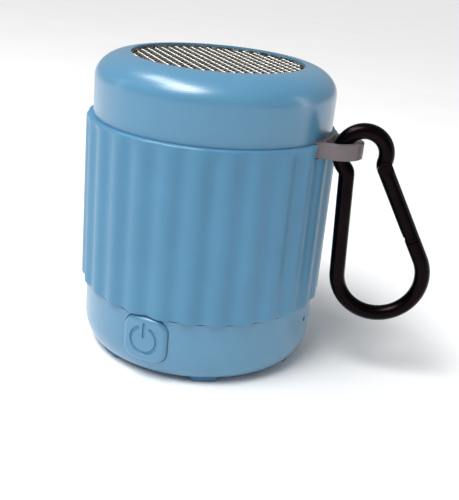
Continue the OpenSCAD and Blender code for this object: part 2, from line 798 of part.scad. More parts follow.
module power_button() {
    body = button_w / 2 - button_corner;
    edge = button_edge;
    front = button_out + 0.35;
    stem_x = switch_x + 1 + plunger_gap;
    back_x = button_back_r;
    rim_w = button_w + 2 * button_flange;
    color(shell_blue) at_azimuth(-90) translate([0, 0, button_z]) {
        intersection() {
            hull() for (y = [-body, body], z = [-body, body]) translate([back_x, y, z]) rotate([0, 90, 0])
                rotate_extrude($fn = 32) polygon(concat(
                    [[0, 0], [button_corner, 0]],
                    arc_points([button_corner - edge, front - back_x - edge], edge, edge, 0, 90, 6),
                    [[0, front - back_x]]));
            translate([0, 0, -20]) cylinder(h = 40, r = button_out, $fn = 192);
        }
        prism_x(back_x - 1, back_x + overlap, rim_w, rim_w - 1, button_corner);
        translate([stem_x, 0, 0]) rotate([0, 90, 0]) cylinder(h = back_x - stem_x, r = button_stem_r);
    }
}

// ---- Port cover ----

module port_cover() {
    color(rubber_blue) at_azimuth(90) translate([0, 0, port_z]) {
        intersection() {
            prism_x(cover_floor + fit, base_r + 2, cover_w, cover_h, 1);
            translate([0, 0, -20]) cylinder(h = 40, r = base_r, $fn = 192);
        }
        prism_x(base_bore_r - 0.9, cover_floor + fit + overlap, plug_w, plug_h, plug_h / 2 - 0.1);
    }
}

module cover_tether() {
    color(rubber_blue) at_azimuth(90) translate([0, hinge_y - tether_w / 2 - 0.15, port_z]) intersection() {
        prism_x(cover_floor + 0.02, base_r + 2, tether_w, cover_h - 3, 0.8);
        translate([0, -hinge_y + tether_w / 2 + 0.15, -20]) cylinder(h = 40, r = base_r, $fn = 192);
    }
}

// ---- Snap hook: built in the XZ plane round the middle of its head, then leaned and turned ----

module in_hook_place() {
    translate([bar_x, 0, loop_z]) rotate([0, 0, hook_turn]) rotate([0, -hook_lean, 0])
        translate([head_out, 0, -head_drop]) children();
}

// Point of the hook's plane in space
function flat(p) = [p[0], 0, p[1]];

// Stations along an arc of the hook's middle line: [point, direction in degrees]
function arc_stations(centre, radius, from, to, steps, turn) =
    [for (i = [0 : steps]) let (a = from + (to - from) * i / steps)
        [centre + radius * [cos(a), sin(a)], a + turn]];

// From the seam round the wide end, over the head and down to the gate's hinge
hook_stations = concat(
    [[seam_point, -90 + leg_slope]],
    arc_stations([0, belly_z], belly_r, leg_slope, -180 - leg_slope, 24, -90),
    arc_stations([-bend_centre[0], bend_centre[1]], bend_round, -leg_slope, hook_wrap, 5, 90),
    arc_stations([0, 0], head_r, 180 + hook_wrap, -hook_wrap, 24, -90),
    arc_stations(bend_centre, bend_round, 180 - hook_wrap, 180 + leg_slope, 5, 90));

// Solid rod through a list of stations in the XZ plane
module swept_rod(stations, r, sides) {
    last = len(stations) - 1;
    points = [for (st = stations, k = [0 : sides - 1]) let (b = -360 * k / sides)
        [st[0][0] - r * cos(b) * sin(st[1]), r * sin(b), st[0][1] + r * cos(b) * cos(st[1])]];
    corner = function (i, k) i * sides + k % sides;
    polyhedron(points, concat(
        [for (k = [1 : sides - 2]) [0, k, k + 1]],
        [for (i = [0 : last - 1], k = [0 : sides - 1], half = [0, 1])
            half == 0 ? [corner(i, k), corner(i + 1, k), corner(i + 1, k + 1)]
                : [corner(i, k), corner(i + 1, k + 1), corner(i, k + 1)]],
        [for (k = [1 : sides - 2]) [corner(last, 0), corner(last, k + 1), corner(last, k)]]), convexity = 10);
}

// Children placed at the gate's hinge, with -Z running down the gate
module at_hinge() { translate(flat(leg_start)) rotate([0, -leg_slope, 0]) children(); }

// Round pin across the hook
module cross_pin(r, length) { rotate([90, 0, 0]) cylinder(h = length, r = r, center = true, $fn = 48); }

module carabiner_frame() {
    color(black_anodised) in_hook_place() {
        difference() {
            swept_rod(hook_stations, rod_r, 24);
            // room for the gate's ears, beside the tongue
            for (y = [-1, 1]) translate([leg_start[0], y * (tongue_t / 2 + 5), leg_start[1]])
                cross_pin(rod_r + 0.25, 10);
            translate(flat(leg_start)) cross_pin(rivet_r + rivet_play, 10);
        }
        // tongue that the gate turns on
        translate(flat(leg_start)) difference() {
            cross_pin(rod_r - 0.1, tongue_t);
            cross_pin(rivet_r + rivet_play, 10);
        }
        // tongue with the notch that holds the gate's pin
        at_hinge() difference() {
            translate([-rod_r + 0.35, -tongue_t / 2, -gate_l - 1])
                cube([2 * rod_r - 0.7, tongue_t, 1 + latch_l - 0.6]);
            translate([-4 + latch_pin_r + 0.25, -4, -gate_l + latch_pin_rise - latch_pin_r - 0.25])
                cube([4, 8, 2 * latch_pin_r + 0.5]);
        }
    }
}

module carabiner_gate() {
    color(black_anodised) in_hook_place() at_hinge() difference() {
        union() {
            translate([0, 0, -gate_l + gate_gap]) cylinder(h = gate_l - gate_gap, r = rod_r);
            cross_pin(rod_r, 2 * (rod_r - rivet_seat + 0.1));
        }
        cross_pin(rod_r + 0.3, slot_t);
        translate([-5, -slot_t / 2, 0]) cube([10, slot_t, 5]);
        translate([-5, -slot_t / 2, -gate_l - 1]) cube([10, slot_t, 1 + latch_l]);
        cross_pin(rivet_r + 0.02, 10);
        for (y = [-1, 1]) translate([0, y * (rod_r - rivet_seat + 1), 0]) cross_pin(rivet_head_r + fit, 2);
        translate([0, 0, -gate_l + latch_pin_rise]) cross_pin(latch_pin_r + 0.02, 10);
        translate([0, 0, -gate_bore_l]) cylinder(h = gate_bore_l, r = gate_bore_r, $fn = 32);
    }
}

module gate_rivet() {
    color(steel) in_hook_place() at_hinge() {
        cross_pin(rivet_r, 2 * (rod_r - rivet_seat + 0.1));
        for (y = [-1, 1]) translate([0, y * (rod_r - rivet_seat + 0.02 + rivet_head_h / 2), 0])
            cross_pin(rivet_head_r, rivet_head_h);
    }
}

module gate_latch_pin() {
    color(steel) in_hook_place() at_hinge() translate([0, 0, -gate_l + latch_pin_rise])
        cross_pin(latch_pin_r, 2 * rod_r - 0.8);
}

// Wire coil in the gate's bore
module gate_spring() {
    rings = spring_turns * spring_steps;
    points = [for (i = [0 : rings], k = [0 : spring_sides - 1])
        let (a = 360 * i / spring_steps, b = 360 * k / spring_sides, r = spring_r + spring_wire_r * cos(b))
        [r * cos(a), r * sin(a), 0.5 - gate_bore_l + spring_l * i / rings + spring_wire_r * sin(b)]];
    corner = function (i, k) i * spring_sides + k % spring_sides;
    faces = concat(
        [[0, 1, 2], [0, 2, 3]],
        [for (i = [0 : rings - 1], k = [0 : spring_sides - 1], half = [0, 1])
            half == 0 ? [corner(i, k), corner(i + 1, k), corner(i + 1, k + 1)]
                : [corner(i, k), corner(i + 1, k + 1), corner(i, k + 1)]],
        [for (k = [1, 2]) [corner(rings, 0), corner(rings, k + 1), corner(rings, k)]]);
    color(steel) in_hook_place() at_hinge() polyhedron(points, faces, convexity = 10);
}

base_shell();
top_shell();
grip_sleeve();
shell_seal();
case_screws();
feet();
grille_wires();
grille_hoop();
splash_membrane();
carabiner_loop();
loop_plate();
loop_screws();
driver_basket();
driver_gasket();
driver_screws();
driver_magnet();
driver_top_plate();
driver_yoke();
driver_surround();
driver_spider();
driver_cone();
driver_dust_cap();
driver_coil();
main_board();
board_screws();
battery_tray();
battery_pad();
battery_cell();
battery_lead();
speaker_lead();
usb_socket();
power_switch();
switch_plunger();
power_button();
microphone();
amplifier_chip();
port_cover();
cover_tether();
carabiner_frame();
carabiner_gate();
gate_rivet();
gate_latch_pin();
gate_spring();
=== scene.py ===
"""Looks of a round splash-proof speaker.

Casing, fluted sleeve, woven grille, power button, feet, side eyelet, snap hook and what stands inside.
"""

import logging
import math
from dataclasses import dataclass, field
from enum import Enum
from typing import Iterable, Optional, Sequence

import bmesh
import bpy
from mathutils import Matrix, Vector


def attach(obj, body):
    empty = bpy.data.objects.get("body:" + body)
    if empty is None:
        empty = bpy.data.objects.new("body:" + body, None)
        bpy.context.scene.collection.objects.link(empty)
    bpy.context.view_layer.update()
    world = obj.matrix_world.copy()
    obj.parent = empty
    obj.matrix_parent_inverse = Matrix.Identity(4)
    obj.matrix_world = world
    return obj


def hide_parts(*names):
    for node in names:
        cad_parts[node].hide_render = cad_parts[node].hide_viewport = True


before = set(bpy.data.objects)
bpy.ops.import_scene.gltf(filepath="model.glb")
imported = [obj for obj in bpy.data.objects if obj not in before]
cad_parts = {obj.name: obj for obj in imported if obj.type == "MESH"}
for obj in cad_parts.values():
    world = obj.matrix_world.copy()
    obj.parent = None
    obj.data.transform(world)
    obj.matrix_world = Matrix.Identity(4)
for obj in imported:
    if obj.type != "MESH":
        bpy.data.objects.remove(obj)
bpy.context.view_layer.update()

LOG = logging.getLogger("speaker")
MM = 0.001
OVERLAP = 0.01  # millimetres that two bodies share where they are joined
GLOSS_SPREAD = 0.04  # how far a finish's roughness strays to either side in its patches
SHEEN_ROUGHNESS = 0.4
COAT_ROUGHNESS = 0.2
Point2 = tuple[float, float]
Size3 = tuple[float, float, float]


class Body(Enum):
    """The moving bodies of the speaker."""

    HOUSING = "housing"
    BUTTON = "power_button"
    CONE = "cone"
    HOOK = "snap_hook"
    GATE = "gate"
    COVER = "port_cover"


# ---- Node helpers ----


def linear(colour: str) -> tuple[float, float, float, float]:
    """Turns an sRGB hex colour into linear RGBA.

    Args:
        colour: Six hex digits with or without a leading #.

    Returns:
        Linear red, green, blue and an alpha of one.
    """
    digits = colour.lstrip("#")
    channels = [int(digits[i : i + 2], 16) / 255 for i in (0, 2, 4)]
    red, green, blue = (
        c / 12.92 if c <= 0.04045 else ((c + 0.055) / 1.055) ** 2.4 for c in channels
    )
    return red, green, blue, 1.0


def per_mm(size: float) -> float:
    """Returns the scale of a texture whose features are size millimetres across."""
    return 1.0 / (size * MM)


def add_node(
    tree: bpy.types.NodeTree,
    kind: str,
    inputs: Optional[dict] = None,
    **settings: object,
) -> bpy.types.Node:
    """Adds a node, sets it up and links it.

    Args:
        tree: The node tree that gets the node.
        kind: The node's type name.
        inputs: Socket name or index to a value, or to the output socket it is linked to.
        **settings: Attributes of the node.

    Returns:
        The new node.
    """
    node = tree.nodes.new(kind)
    for name, value in settings.items():
        setattr(node, name, value)
    for key, value in (inputs or {}).items():
        socket = node.inputs[key]
        if isinstance(value, bpy.types.NodeSocket):
            tree.links.new(value, socket)
        else:
            socket.default_value = value
    return node


# ---- Finishes ----


@dataclass(frozen=True)
class Finish:
    """A surface with a fine grain, slight mottling and its own gloss.

    Attributes:
        name: Name of the material and how it was made.
        colour: sRGB hex of the surface.
        shade: sRGB hex of its darker patches.
        roughness: Roughness of the gloss.
        grain: Size of the grain in millimetres.
        relief: Height of the grain in millimetres.
        mottle: Size of the patches in millimetres.
        metallic: Share of metal.
        ior: Index of refraction where the surface isn't a metal.
        specular: Strength of the gloss.
        sheen: Weight of the soft edge light of rubber and cloth.
        coat: Weight of the clear layer on top.
        stretch: Factors by which the grain is finer along X, Y and Z.
    """

    name: str
    colour: str
    shade: str
    roughness: float = 0.5
    grain: float = 0.4
    relief: float = 0.01
    mottle: float = 14.0
    metallic: float = 0.0
    ior: float = 1.5
    specular: float = 0.5
    sheen: float = 0.0
    coat: float = 0.0
    stretch: Size3 = (1.0, 1.0, 1.0)

    def material(self) -> bpy.types.Material:
        """Builds the material once and gives the same one after that.

        Returns:
            The finish's material.
        """
        made = bpy.data.materials.get(self.name)
        if made:
            return made
        made = bpy.data.materials.new(self.name)
        made.use_nodes = True
        tree = made.node_tree
        tree.nodes.clear()
        place = add_node(tree, "ShaderNodeTexCoord")
        drawn = add_node(
            tree,
            "ShaderNodeMapping",
            {"Vector": place.outputs["Object"], "Scale": self.stretch},
        )
        grain = self.grain_height(tree, drawn.outputs["Vector"])
        patches = add_node(
            tree,
            "ShaderNodeTexNoise",
            {"Vector": place.outputs["Object"], "Scale": per_mm(self.mottle), "Detail": 3.0},
        )
        shader = add_node(
            tree,
            "ShaderNodeBsdfPrincipled",
            {
                "Base Color": self.tint(tree, place.outputs["Object"], patches.outputs["Fac"]),
                "Roughness": add_node(
                    tree,
                    "ShaderNodeMapRange",
                    {
                        "Value": patches.outputs["Fac"],
                        "From Min": 0.3,
                        "From Max": 0.7,
                        "To Min": self.roughness - GLOSS_SPREAD,
                        "To Max": self.roughness + GLOSS_SPREAD,
                    },
                ).outputs["Result"],
                "Metallic": self.metallic,
                "Specular IOR Level": self.specular,
                "Sheen Weight": self.sheen,
                "Coat Weight": self.coat,
                "Normal": add_node(
                    tree,
                    "ShaderNodeBump",
                    {"Height": grain, "Distance": self.relief * MM, "Strength": 1.0},
                ).outputs["Normal"],
            },
        )
        if self.metallic == 0.0:
            shader.inputs["IOR"].default_value = self.ior
        if self.sheen:
            shader.inputs["Sheen Roughness"].default_value = SHEEN_ROUGHNESS
        if self.coat:
            shader.inputs["Coat Roughness"].default_value = COAT_ROUGHNESS
        add_node(tree, "ShaderNodeOutputMaterial", {"Surface": shader.outputs["BSDF"]})
        return made

    def grain_height(self, tree: bpy.types.NodeTree, place: bpy.types.NodeSocket) -> bpy.types.NodeSocket:
        """Adds the surface's grain.

        Args:
            tree: The material's tree.
            place: Object coordinates, stretched as the grain is.

        Returns:
            The socket with the grain's height.
        """
        return add_node(
            tree,
            "ShaderNodeTexNoise",
            {"Vector": place, "Scale": per_mm(self.grain), "Detail": 2.0, "Roughness": 0.55},
        ).outputs["Fac"]

    def tint(
        self,
        tree: bpy.types.NodeTree,
        place: bpy.types.NodeSocket,
        patches: bpy.types.NodeSocket,
    ) -> bpy.types.NodeSocket:
        """Mixes the surface's two colours.

        Args:
            tree: The material's tree.
            place: Object coordinates.
            patches: Height of the mottling.

        Returns:
            The socket with the colour.
        """
        ramp = add_node(tree, "ShaderNodeValToRGB", {"Fac": patches})
        ramp.color_ramp.elements[0].position = 0.36
        ramp.color_ramp.elements[0].color = linear(self.shade)
        ramp.color_ramp.elements[1].position = 0.66
        ramp.color_ramp.elements[1].color = linear(self.colour)
        return ramp.outputs["Color"]


@dataclass(frozen=True)
class ClothFinish(Finish):
    """Resin-treated woven cloth: the grain is two crossing sets of threads, grain millimetres apart.

    Attributes:
        wave_turn: Length over which the wave texture repeats at a scale of one, two pi.
    """

    wave_turn: float = 6.2832

    def grain_height(self, tree: bpy.types.NodeTree, place: bpy.types.NodeSocket) -> bpy.types.NodeSocket:
        """Adds the weave of the threads.

        Args:
            tree: The material's tree.
            place: Object coordinates.

        Returns:
            The socket with the weave's height.
        """
        threads = [
            add_node(
                tree,
                "ShaderNodeTexWave",
                {"Vector": place, "Scale": per_mm(self.grain) / self.wave_turn, "Distortion": 0.4},
                bands_direction=axis,
            ).outputs["Fac"]
            for axis in ("X", "Y")
        ]
        return add_node(
            tree, "ShaderNodeMath", {0: threads[0], 1: threads[1]}, operation="MULTIPLY"
        ).outputs[0]


@dataclass(frozen=True)
class BoardFinish(Finish):
    """Circuit board: solder mask over copper tracks that run on a grid.

    Attributes:
        track: Distance from track to track in millimetres.
        copper: sRGB hex of the mask where copper lies under it.
    """

    track: float = 1.6
    copper: str = "#2E7A52"

    def tint(
        self,
        tree: bpy.types.NodeTree,
        place: bpy.types.NodeSocket,
        patches: bpy.types.NodeSocket,
    ) -> bpy.types.NodeSocket:
        """Mixes the mask's green with the lighter green over the tracks.

        Args:
            tree: The material's tree.
            place: Object coordinates.
            patches: Height of the mottling.

        Returns:
            The socket with the colour.
        """
        cells = add_node(
            tree,
            "ShaderNodeTexBrick",
            {
                "Vector": place,
                "Color1": linear(self.colour),
                "Color2": linear(self.shade),
                "Mortar": linear(self.copper),
                "Scale": per_mm(self.track) / 4.0,
                "Mortar Size": 0.03,
            },
        )
        return cells.outputs["Color"]


class Finishes:
    """Every finish of the speaker, and of the floor that it stands on."""

    # Moulded ABS with a satin spark-eroded surface: even blue, soft broad highlights.
    SHELL = Finish(
        "abs_satin_moulded_blue", "#508AAC", "#4D86A8", 0.32, 0.35, 0.005, 22.0, specular=0.55, coat=0.6
    )
    # Silicone rubber, compression moulded: a little duller than the casing, with a soft edge light.
    GRIP = Finish(
        "silicone_rubber_moulded_blue", "#4D88AB", "#4983A6", 0.38, 0.3, 0.008, 18.0,
        ior=1.43, specular=0.65, sheen=0.08,
    )
    # The same rubber on the pads under the base: a shade darker in colour than the sleeve, and duller where
    # it stands on the ground and wears.
    FOOT = Finish("silicone_rubber_feet_blue", "#477A9C", "#417394", 0.6, 0.3, 0.02, 6.0, ior=1.43, sheen=0.1)
    # Stainless wire, drawn: satin; its fine lines wouldn't show, and are drawn coarser, at 0.1 millimetre.
    WIRE = Finish("stainless_wire_drawn", "#A8A7A1", "#8E8D88", 0.28, 0.1, 0.002, 3.0, metallic=1.0)
    # Zinc-plated steel: slightly blue-grey and patchy.
    ZINC = Finish("zinc_plated_steel", "#C3C4C4", "#A6A8AA", 0.34, 0.2, 0.004, 2.0, metallic=1.0)
    # Calendered black film behind the wires: no gloss to speak of.
    FILM = Finish("polyester_film_matt_black", "#0B0B0C", "#070708", 0.7, 0.25, 0.01, 8.0, specular=0.2)
    # Glass-filled nylon, moulded: warm grey with a fine satin grain.
    EYELET = Finish("nylon_satin_moulded_grey", "#706669", "#685F62", 0.4, 0.3, 0.008, 7.0, ior=1.53)
    # Black anodised aluminium, tumbled and dyed: near black with a warm cast and long soft highlights.
    ANODISED = Finish("aluminium_black_anodised", "#191316", "#140F11", 0.24, 0.18, 0.002, 9.0, metallic=1.0)
    # Black ABS and glass-filled nylon for the inner mouldings.
    BLACK_PLASTIC = Finish("abs_moulded_black", "#1B1B1D", "#151517", 0.45, 0.3, 0.012, 9.0)
    # Nitrile rubber seals and surround: matt with a faint sheen.
    SEAL = Finish(
        "nitrile_rubber_moulded_black", "#161617", "#101011", 0.62, 0.2, 0.01, 5.0, ior=1.52, sheen=0.15
    )
    # Sintered ferrite: dark, dry and slightly porous.
    FERRITE = Finish("ferrite_sintered", "#39393B", "#2B2B2D", 0.72, 0.25, 0.03, 3.0, ior=2.0)
    # Pressed cotton cloth set in resin: straw-coloured threads that cross.
    SPIDER = ClothFinish("cotton_cloth_resin_set", "#B89B58", "#A2854A", 0.7, 0.6, 0.06, 5.0, sheen=0.2)
    # Polypropylene cone, vacuum formed: dark with a faint orange-peel.
    CONE = Finish("polypropylene_formed_black", "#1E1E21", "#18181A", 0.4, 0.7, 0.02, 6.0, ior=1.49)
    # Enamelled copper wire of the voice coil: warm, with the windings as fine rings.
    COPPER = Finish(
        "copper_wire_enamelled", "#B87445", "#9C5C34", 0.3, 0.25, 0.02, 2.0, metallic=1.0, stretch=(1, 1, 8)
    )
    # Glass-epoxy board under green solder mask: glossy, with lighter lines where copper runs.
    BOARD = BoardFinish("glass_epoxy_solder_mask", "#1F6B45", "#1B6040", 0.3, 0.4, 0.004, 5.0, coat=0.3)
    # Aluminium-laminate pouch of the cell: satin with faint creases.
    POUCH = Finish("aluminium_laminate_pouch", "#B4B7BB", "#A2A6AB", 0.38, 2.5, 0.05, 8.0, metallic=1.0)
    # Cut polyurethane foam: open cells.
    FOAM = Finish("polyurethane_foam_cut", "#4B4B4D", "#343436", 0.9, 0.5, 0.15, 4.0, sheen=0.2)
    # PVC-insulated leads, extruded: smooth with a dull gloss.
    RED_LEAD = Finish("pvc_lead_red", "#B22A28", "#A02422", 0.45, 0.4, 0.004, 5.0)
    BLACK_LEAD = Finish("pvc_lead_black", "#1A1A1B", "#141415", 0.45, 0.4, 0.004, 5.0)
    # Acetal plunger of the switch: milky white.
    ACETAL = Finish("acetal_moulded_white", "#E2E1DC", "#D6D5CF", 0.4, 0.3, 0.004, 4.0, ior=1.48)
    # Moulded epoxy package of the chip: dull black with a fine tooth.
    EPOXY = Finish("epoxy_moulded_black", "#1D1D1F", "#161618", 0.55, 0.15, 0.01, 2.0)
    # Matt painted board of the floor: white with a barely visible tooth.
    FLOOR = Finish("painted_board_white", "#FAFAFA", "#F8F8F8", 0.8, 1.0, 0.01, 60.0, specular=0.1)


# ---- Mesh helpers ----


def to_object(name: str, mesh: bpy.types.Mesh, finish: Optional[Finish] = None) -> bpy.types.Object:
    """Puts a mesh in the scene as an object at the origin.

    Args:
        name: Name of the piece.
        mesh: Its mesh, in metres in the part's frame.
        finish: The finish it gets.

    Returns:
        The object.
    """
    mesh.name = name
    obj = bpy.data.objects.new(name, mesh)
    bpy.context.scene.collection.objects.link(obj)
    if finish:
        mesh.materials.clear()
        mesh.materials.append(finish.material())
    return obj


def from_bmesh(work: bmesh.types.BMesh, name: str) -> bpy.types.Mesh:
    """Turns a bmesh into a mesh with its normals pointing outwards, and frees it.

    Args:
        work: The bmesh.
        name: Name of the mesh.

    Returns:
        The mesh.
    """
    bmesh.ops.recalc_face_normals(work, faces=work.faces)
    mesh = bpy.data.meshes.new(name)
    work.to_mesh(mesh)
    work.free()
    return mesh


def evaluated(obj: bpy.types.Object, name: str) -> bpy.types.Mesh:
    """Applies an object's modifiers and removes the object.

    Args:
        obj: The object with live modifiers.
        name: Name of the resulting mesh.

    Returns:
        The plain mesh.
    """
    bpy.context.view_layer.update()
    graph = bpy.context.evaluated_depsgraph_get()
    mesh = bpy.data.meshes.new_from_object(obj.evaluated_get(graph))
    mesh.name = name
    bpy.data.objects.remove(obj)
    return mesh


def shaded(mesh: bpy.types.Mesh, angle: float = 35.0) -> bpy.types.Mesh:
    """Shades a mesh smooth, apart from its sharp edges.

    Args:
        mesh: The mesh.
        angle: Turn in degrees from which an edge is sharp.

    Returns:
        The same mesh.
    """
    work = bmesh.new()
    work.from_mesh(mesh)
    for face in work.faces:
        face.smooth = True
    for edge in work.edges:
        edge.smooth = len(edge.link_faces) == 2 and edge.calc_face_angle(0.0) < math.radians(angle)
    work.to_mesh(mesh)
    work.free()
    return mesh


def combined(mesh: bpy.types.Mesh, other: bpy.types.Mesh, operation: str, name: str) -> bpy.types.Mesh:
    """Cuts one mesh with another or joins them.

    Args:
        mesh: The mesh that is worked on.
        other: The cutter, or the mesh that is added.
        operation: DIFFERENCE, UNION or INTERSECT.
        name: Name of the result.

    Returns:
        The resulting mesh.
    """
    obj, tool = to_object(name, mesh), to_object(name + "_tool", other)
    cut = obj.modifiers.new("cut", "BOOLEAN")
    cut.operation, cut.object, cut.solver = operation, tool, "EXACT"
    result = evaluated(obj, name)
    bpy.data.objects.remove(tool)
    return result


def block(low: Sequence[float], high: Sequence[float]) -> bpy.types.Mesh:
    """Makes a box.

    Args:
        low: Its lowest corner, in millimetres.
        high: Its highest corner.

    Returns:
        The box's mesh.
    """
    work = bmesh.new()
    bmesh.ops.create_cube(work, size=1.0)
    for vert in work.verts:
        vert.co = Vector([(high[k] if vert.co[k] > 0 else low[k]) * MM for k in range(3)])
    return from_bmesh(work, "block")


def rod(start: Vector, end: Vector, radius: float, sides: int = 48) -> bpy.types.Mesh:
    """Makes a closed round bar.

    Args:
        start: Middle of its one end, in millimetres.
        end: Middle of its other end.
        radius: Its radius.
        sides: Number of its sides.

    Returns:
        The bar's mesh.
    """
    work = bmesh.new()
    axis = end - start
    bmesh.ops.create_cone(
        work, cap_ends=True, segments=sides, radius1=radius * MM, radius2=radius * MM, depth=axis.length * MM
    )
    turn = axis.to_track_quat("Z", "Y").to_matrix().to_4x4()
    work.transform(Matrix.Translation((start + end) / 2 * MM) @ turn)
    return from_bmesh(work, "rod")


def arc(centre: Point2, rx: float, ry: float, start: float, end: float, steps: int) -> list[Point2]:
    """Returns points along an elliptical arc whose angles are in degrees."""
    angles = [math.radians(start + (end - start) * i / steps) for i in range(steps + 1)]
    return [(centre[0] + rx * math.cos(a), centre[1] + ry * math.sin(a)) for a in angles]


def lathe(profile: Sequence[Point2], segments: int, name: str) -> bpy.types.Mesh:
    """Turns a closed profile of radius and height round the Z axis.

    Args:
        profile: Points of the closed section, in millimetres, off the axis.
        segments: Number of steps round the axis.
        name: Name of the mesh.

    Returns:
        A closed ring.
    """
    work = bmesh.new()
    loops = []
    for i in range(segments):
        a = 2 * math.pi * i / segments
        loops.append(
            [work.verts.new((r * MM * math.cos(a), r * MM * math.sin(a), z * MM)) for r, z in profile]
        )
    count = len(profile)
    for i in range(segments):
        one, two = loops[i], loops[(i + 1) % segments]
        for k in range(count):
            work.faces.new((one[k], two[k], two[(k + 1) % count], one[(k + 1) % count]))
    return from_bmesh(work, name)


# ---- Geometry Nodes helpers ----


@dataclass
class NodeShape:
    """A Geometry Nodes tree with named sizes, and the mesh that it makes.

    Attributes:
        name: Name of the tree.
        sizes: Name of each input to its value, a float in metres or an int.
    """

    name: str
    sizes: dict[str, float]
    tree: bpy.types.NodeTree = field(init=False)
    start: bpy.types.Node = field(init=False)

    def __post_init__(self) -> None:
        """Makes the tree with its inputs."""
        self.tree = bpy.data.node_groups.new(self.name, "GeometryNodeTree")
        face = self.tree.interface
        face.new_socket(name="Geometry", in_out="INPUT", socket_type="NodeSocketGeometry")
        for label, value in self.sizes.items():
            kind = "NodeSocketInt" if isinstance(value, int) else "NodeSocketFloat"
            face.new_socket(name=label, in_out="INPUT", socket_type=kind)
        face.new_socket(name="Geometry", in_out="OUTPUT", socket_type="NodeSocketGeometry")
        self.start = self.tree.nodes.new("NodeGroupInput")

    def size(self, label: str) -> bpy.types.NodeSocket:
        """Returns the socket of a named size."""
        return self.start.outputs[label]

    def math(self, operation: str, *values: object) -> bpy.types.NodeSocket:
        """Adds a math node.

        Args:
            operation: What it works out.
            *values: Its inputs in order, numbers or sockets.

        Returns:
            The socket with the result.
        """
        return add_node(
            self.tree, "ShaderNodeMath", dict(enumerate(values)), operation=operation
        ).outputs[0]

    def finish(self, geometry: bpy.types.NodeSocket, finish: Finish) -> None:
        """Ends the tree in Realize Instances and Set Material.

        Args:
            geometry: What the tree has made.
            finish: The finish that it gets.
        """
        real = add_node(self.tree, "GeometryNodeRealizeInstances", {"Geometry": geometry})
        dressed = add_node(
            self.tree,
            "GeometryNodeSetMaterial",
            {"Geometry": real.outputs[0], "Material": finish.material()},
        )
        add_node(self.tree, "NodeGroupOutput", {"Geometry": dressed.outputs[0]})

    def mesh(self, base: bpy.types.Mesh) -> bpy.types.Mesh:
        """Runs the tree on a base mesh.

        Args:
            base: The mesh that the tree starts from.

        Returns:
            The plain mesh that comes out.
        """
        obj = to_object(self.name, base)
        modifier = obj.modifiers.new(self.name, "NODES")
        modifier.node_group = self.tree
        for item in self.tree.interface.items_tree:
            if item.item_type == "SOCKET" and item.in_out == "INPUT" and item.name in self.sizes:
                modifier[item.identifier] = self.sizes[item.name]
        return evaluated(obj, self.name)


def dress(finish: Finish, *names: str) -> None:
    """Gives CAD nodes their finish.

    Args:
        finish: The finish.
        *names: Names of the nodes.
    """
    for name in names:
        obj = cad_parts[name]
        if not obj.material_slots:
            obj.data.materials.append(finish.material())
        for slot in obj.material_slots:
            slot.material = finish.material()
        LOG.info("%s: %s", name, finish.name)


def place(
    mesh: bpy.types.Mesh, name: str, body: Body, finish: Finish, slot: str, replaces: Iterable[str] = ()
) -> bpy.types.Object:
    """Adds a finished piece and ties it to its body.

    Args:
        mesh: The piece's mesh in the part's frame.
        name: Name of the piece.
        body: The body that it moves with.
        finish: Its finish.
        slot: Name of a material slot; not used.
        replaces: CAD nodes that it stands for.

    Returns:
        The object.
    """
    obj = to_object(name, mesh, finish)
    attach(obj, body.value)
    if replaces:
        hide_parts(*replaces)
    LOG.info("%s: %d faces, %s", name, len(mesh.polygons), finish.name)
    return obj


# ---- Studio ----


@dataclass(frozen=True)
class SoftBox:
    """A rectangular lamp that faces the speaker.

    Attributes:
        name: Name of the lamp.
        azimuth: Direction of the lamp seen from the speaker, in degrees from +X.
        height: Height of the lamp in metres.
        distance: Distance from the axis in metres.
        size: Width and height in metres.
        power: Power in watts.
    """

    name: str
    azimuth: float
    height: float
    distance: float
    size: Point2
    power: float


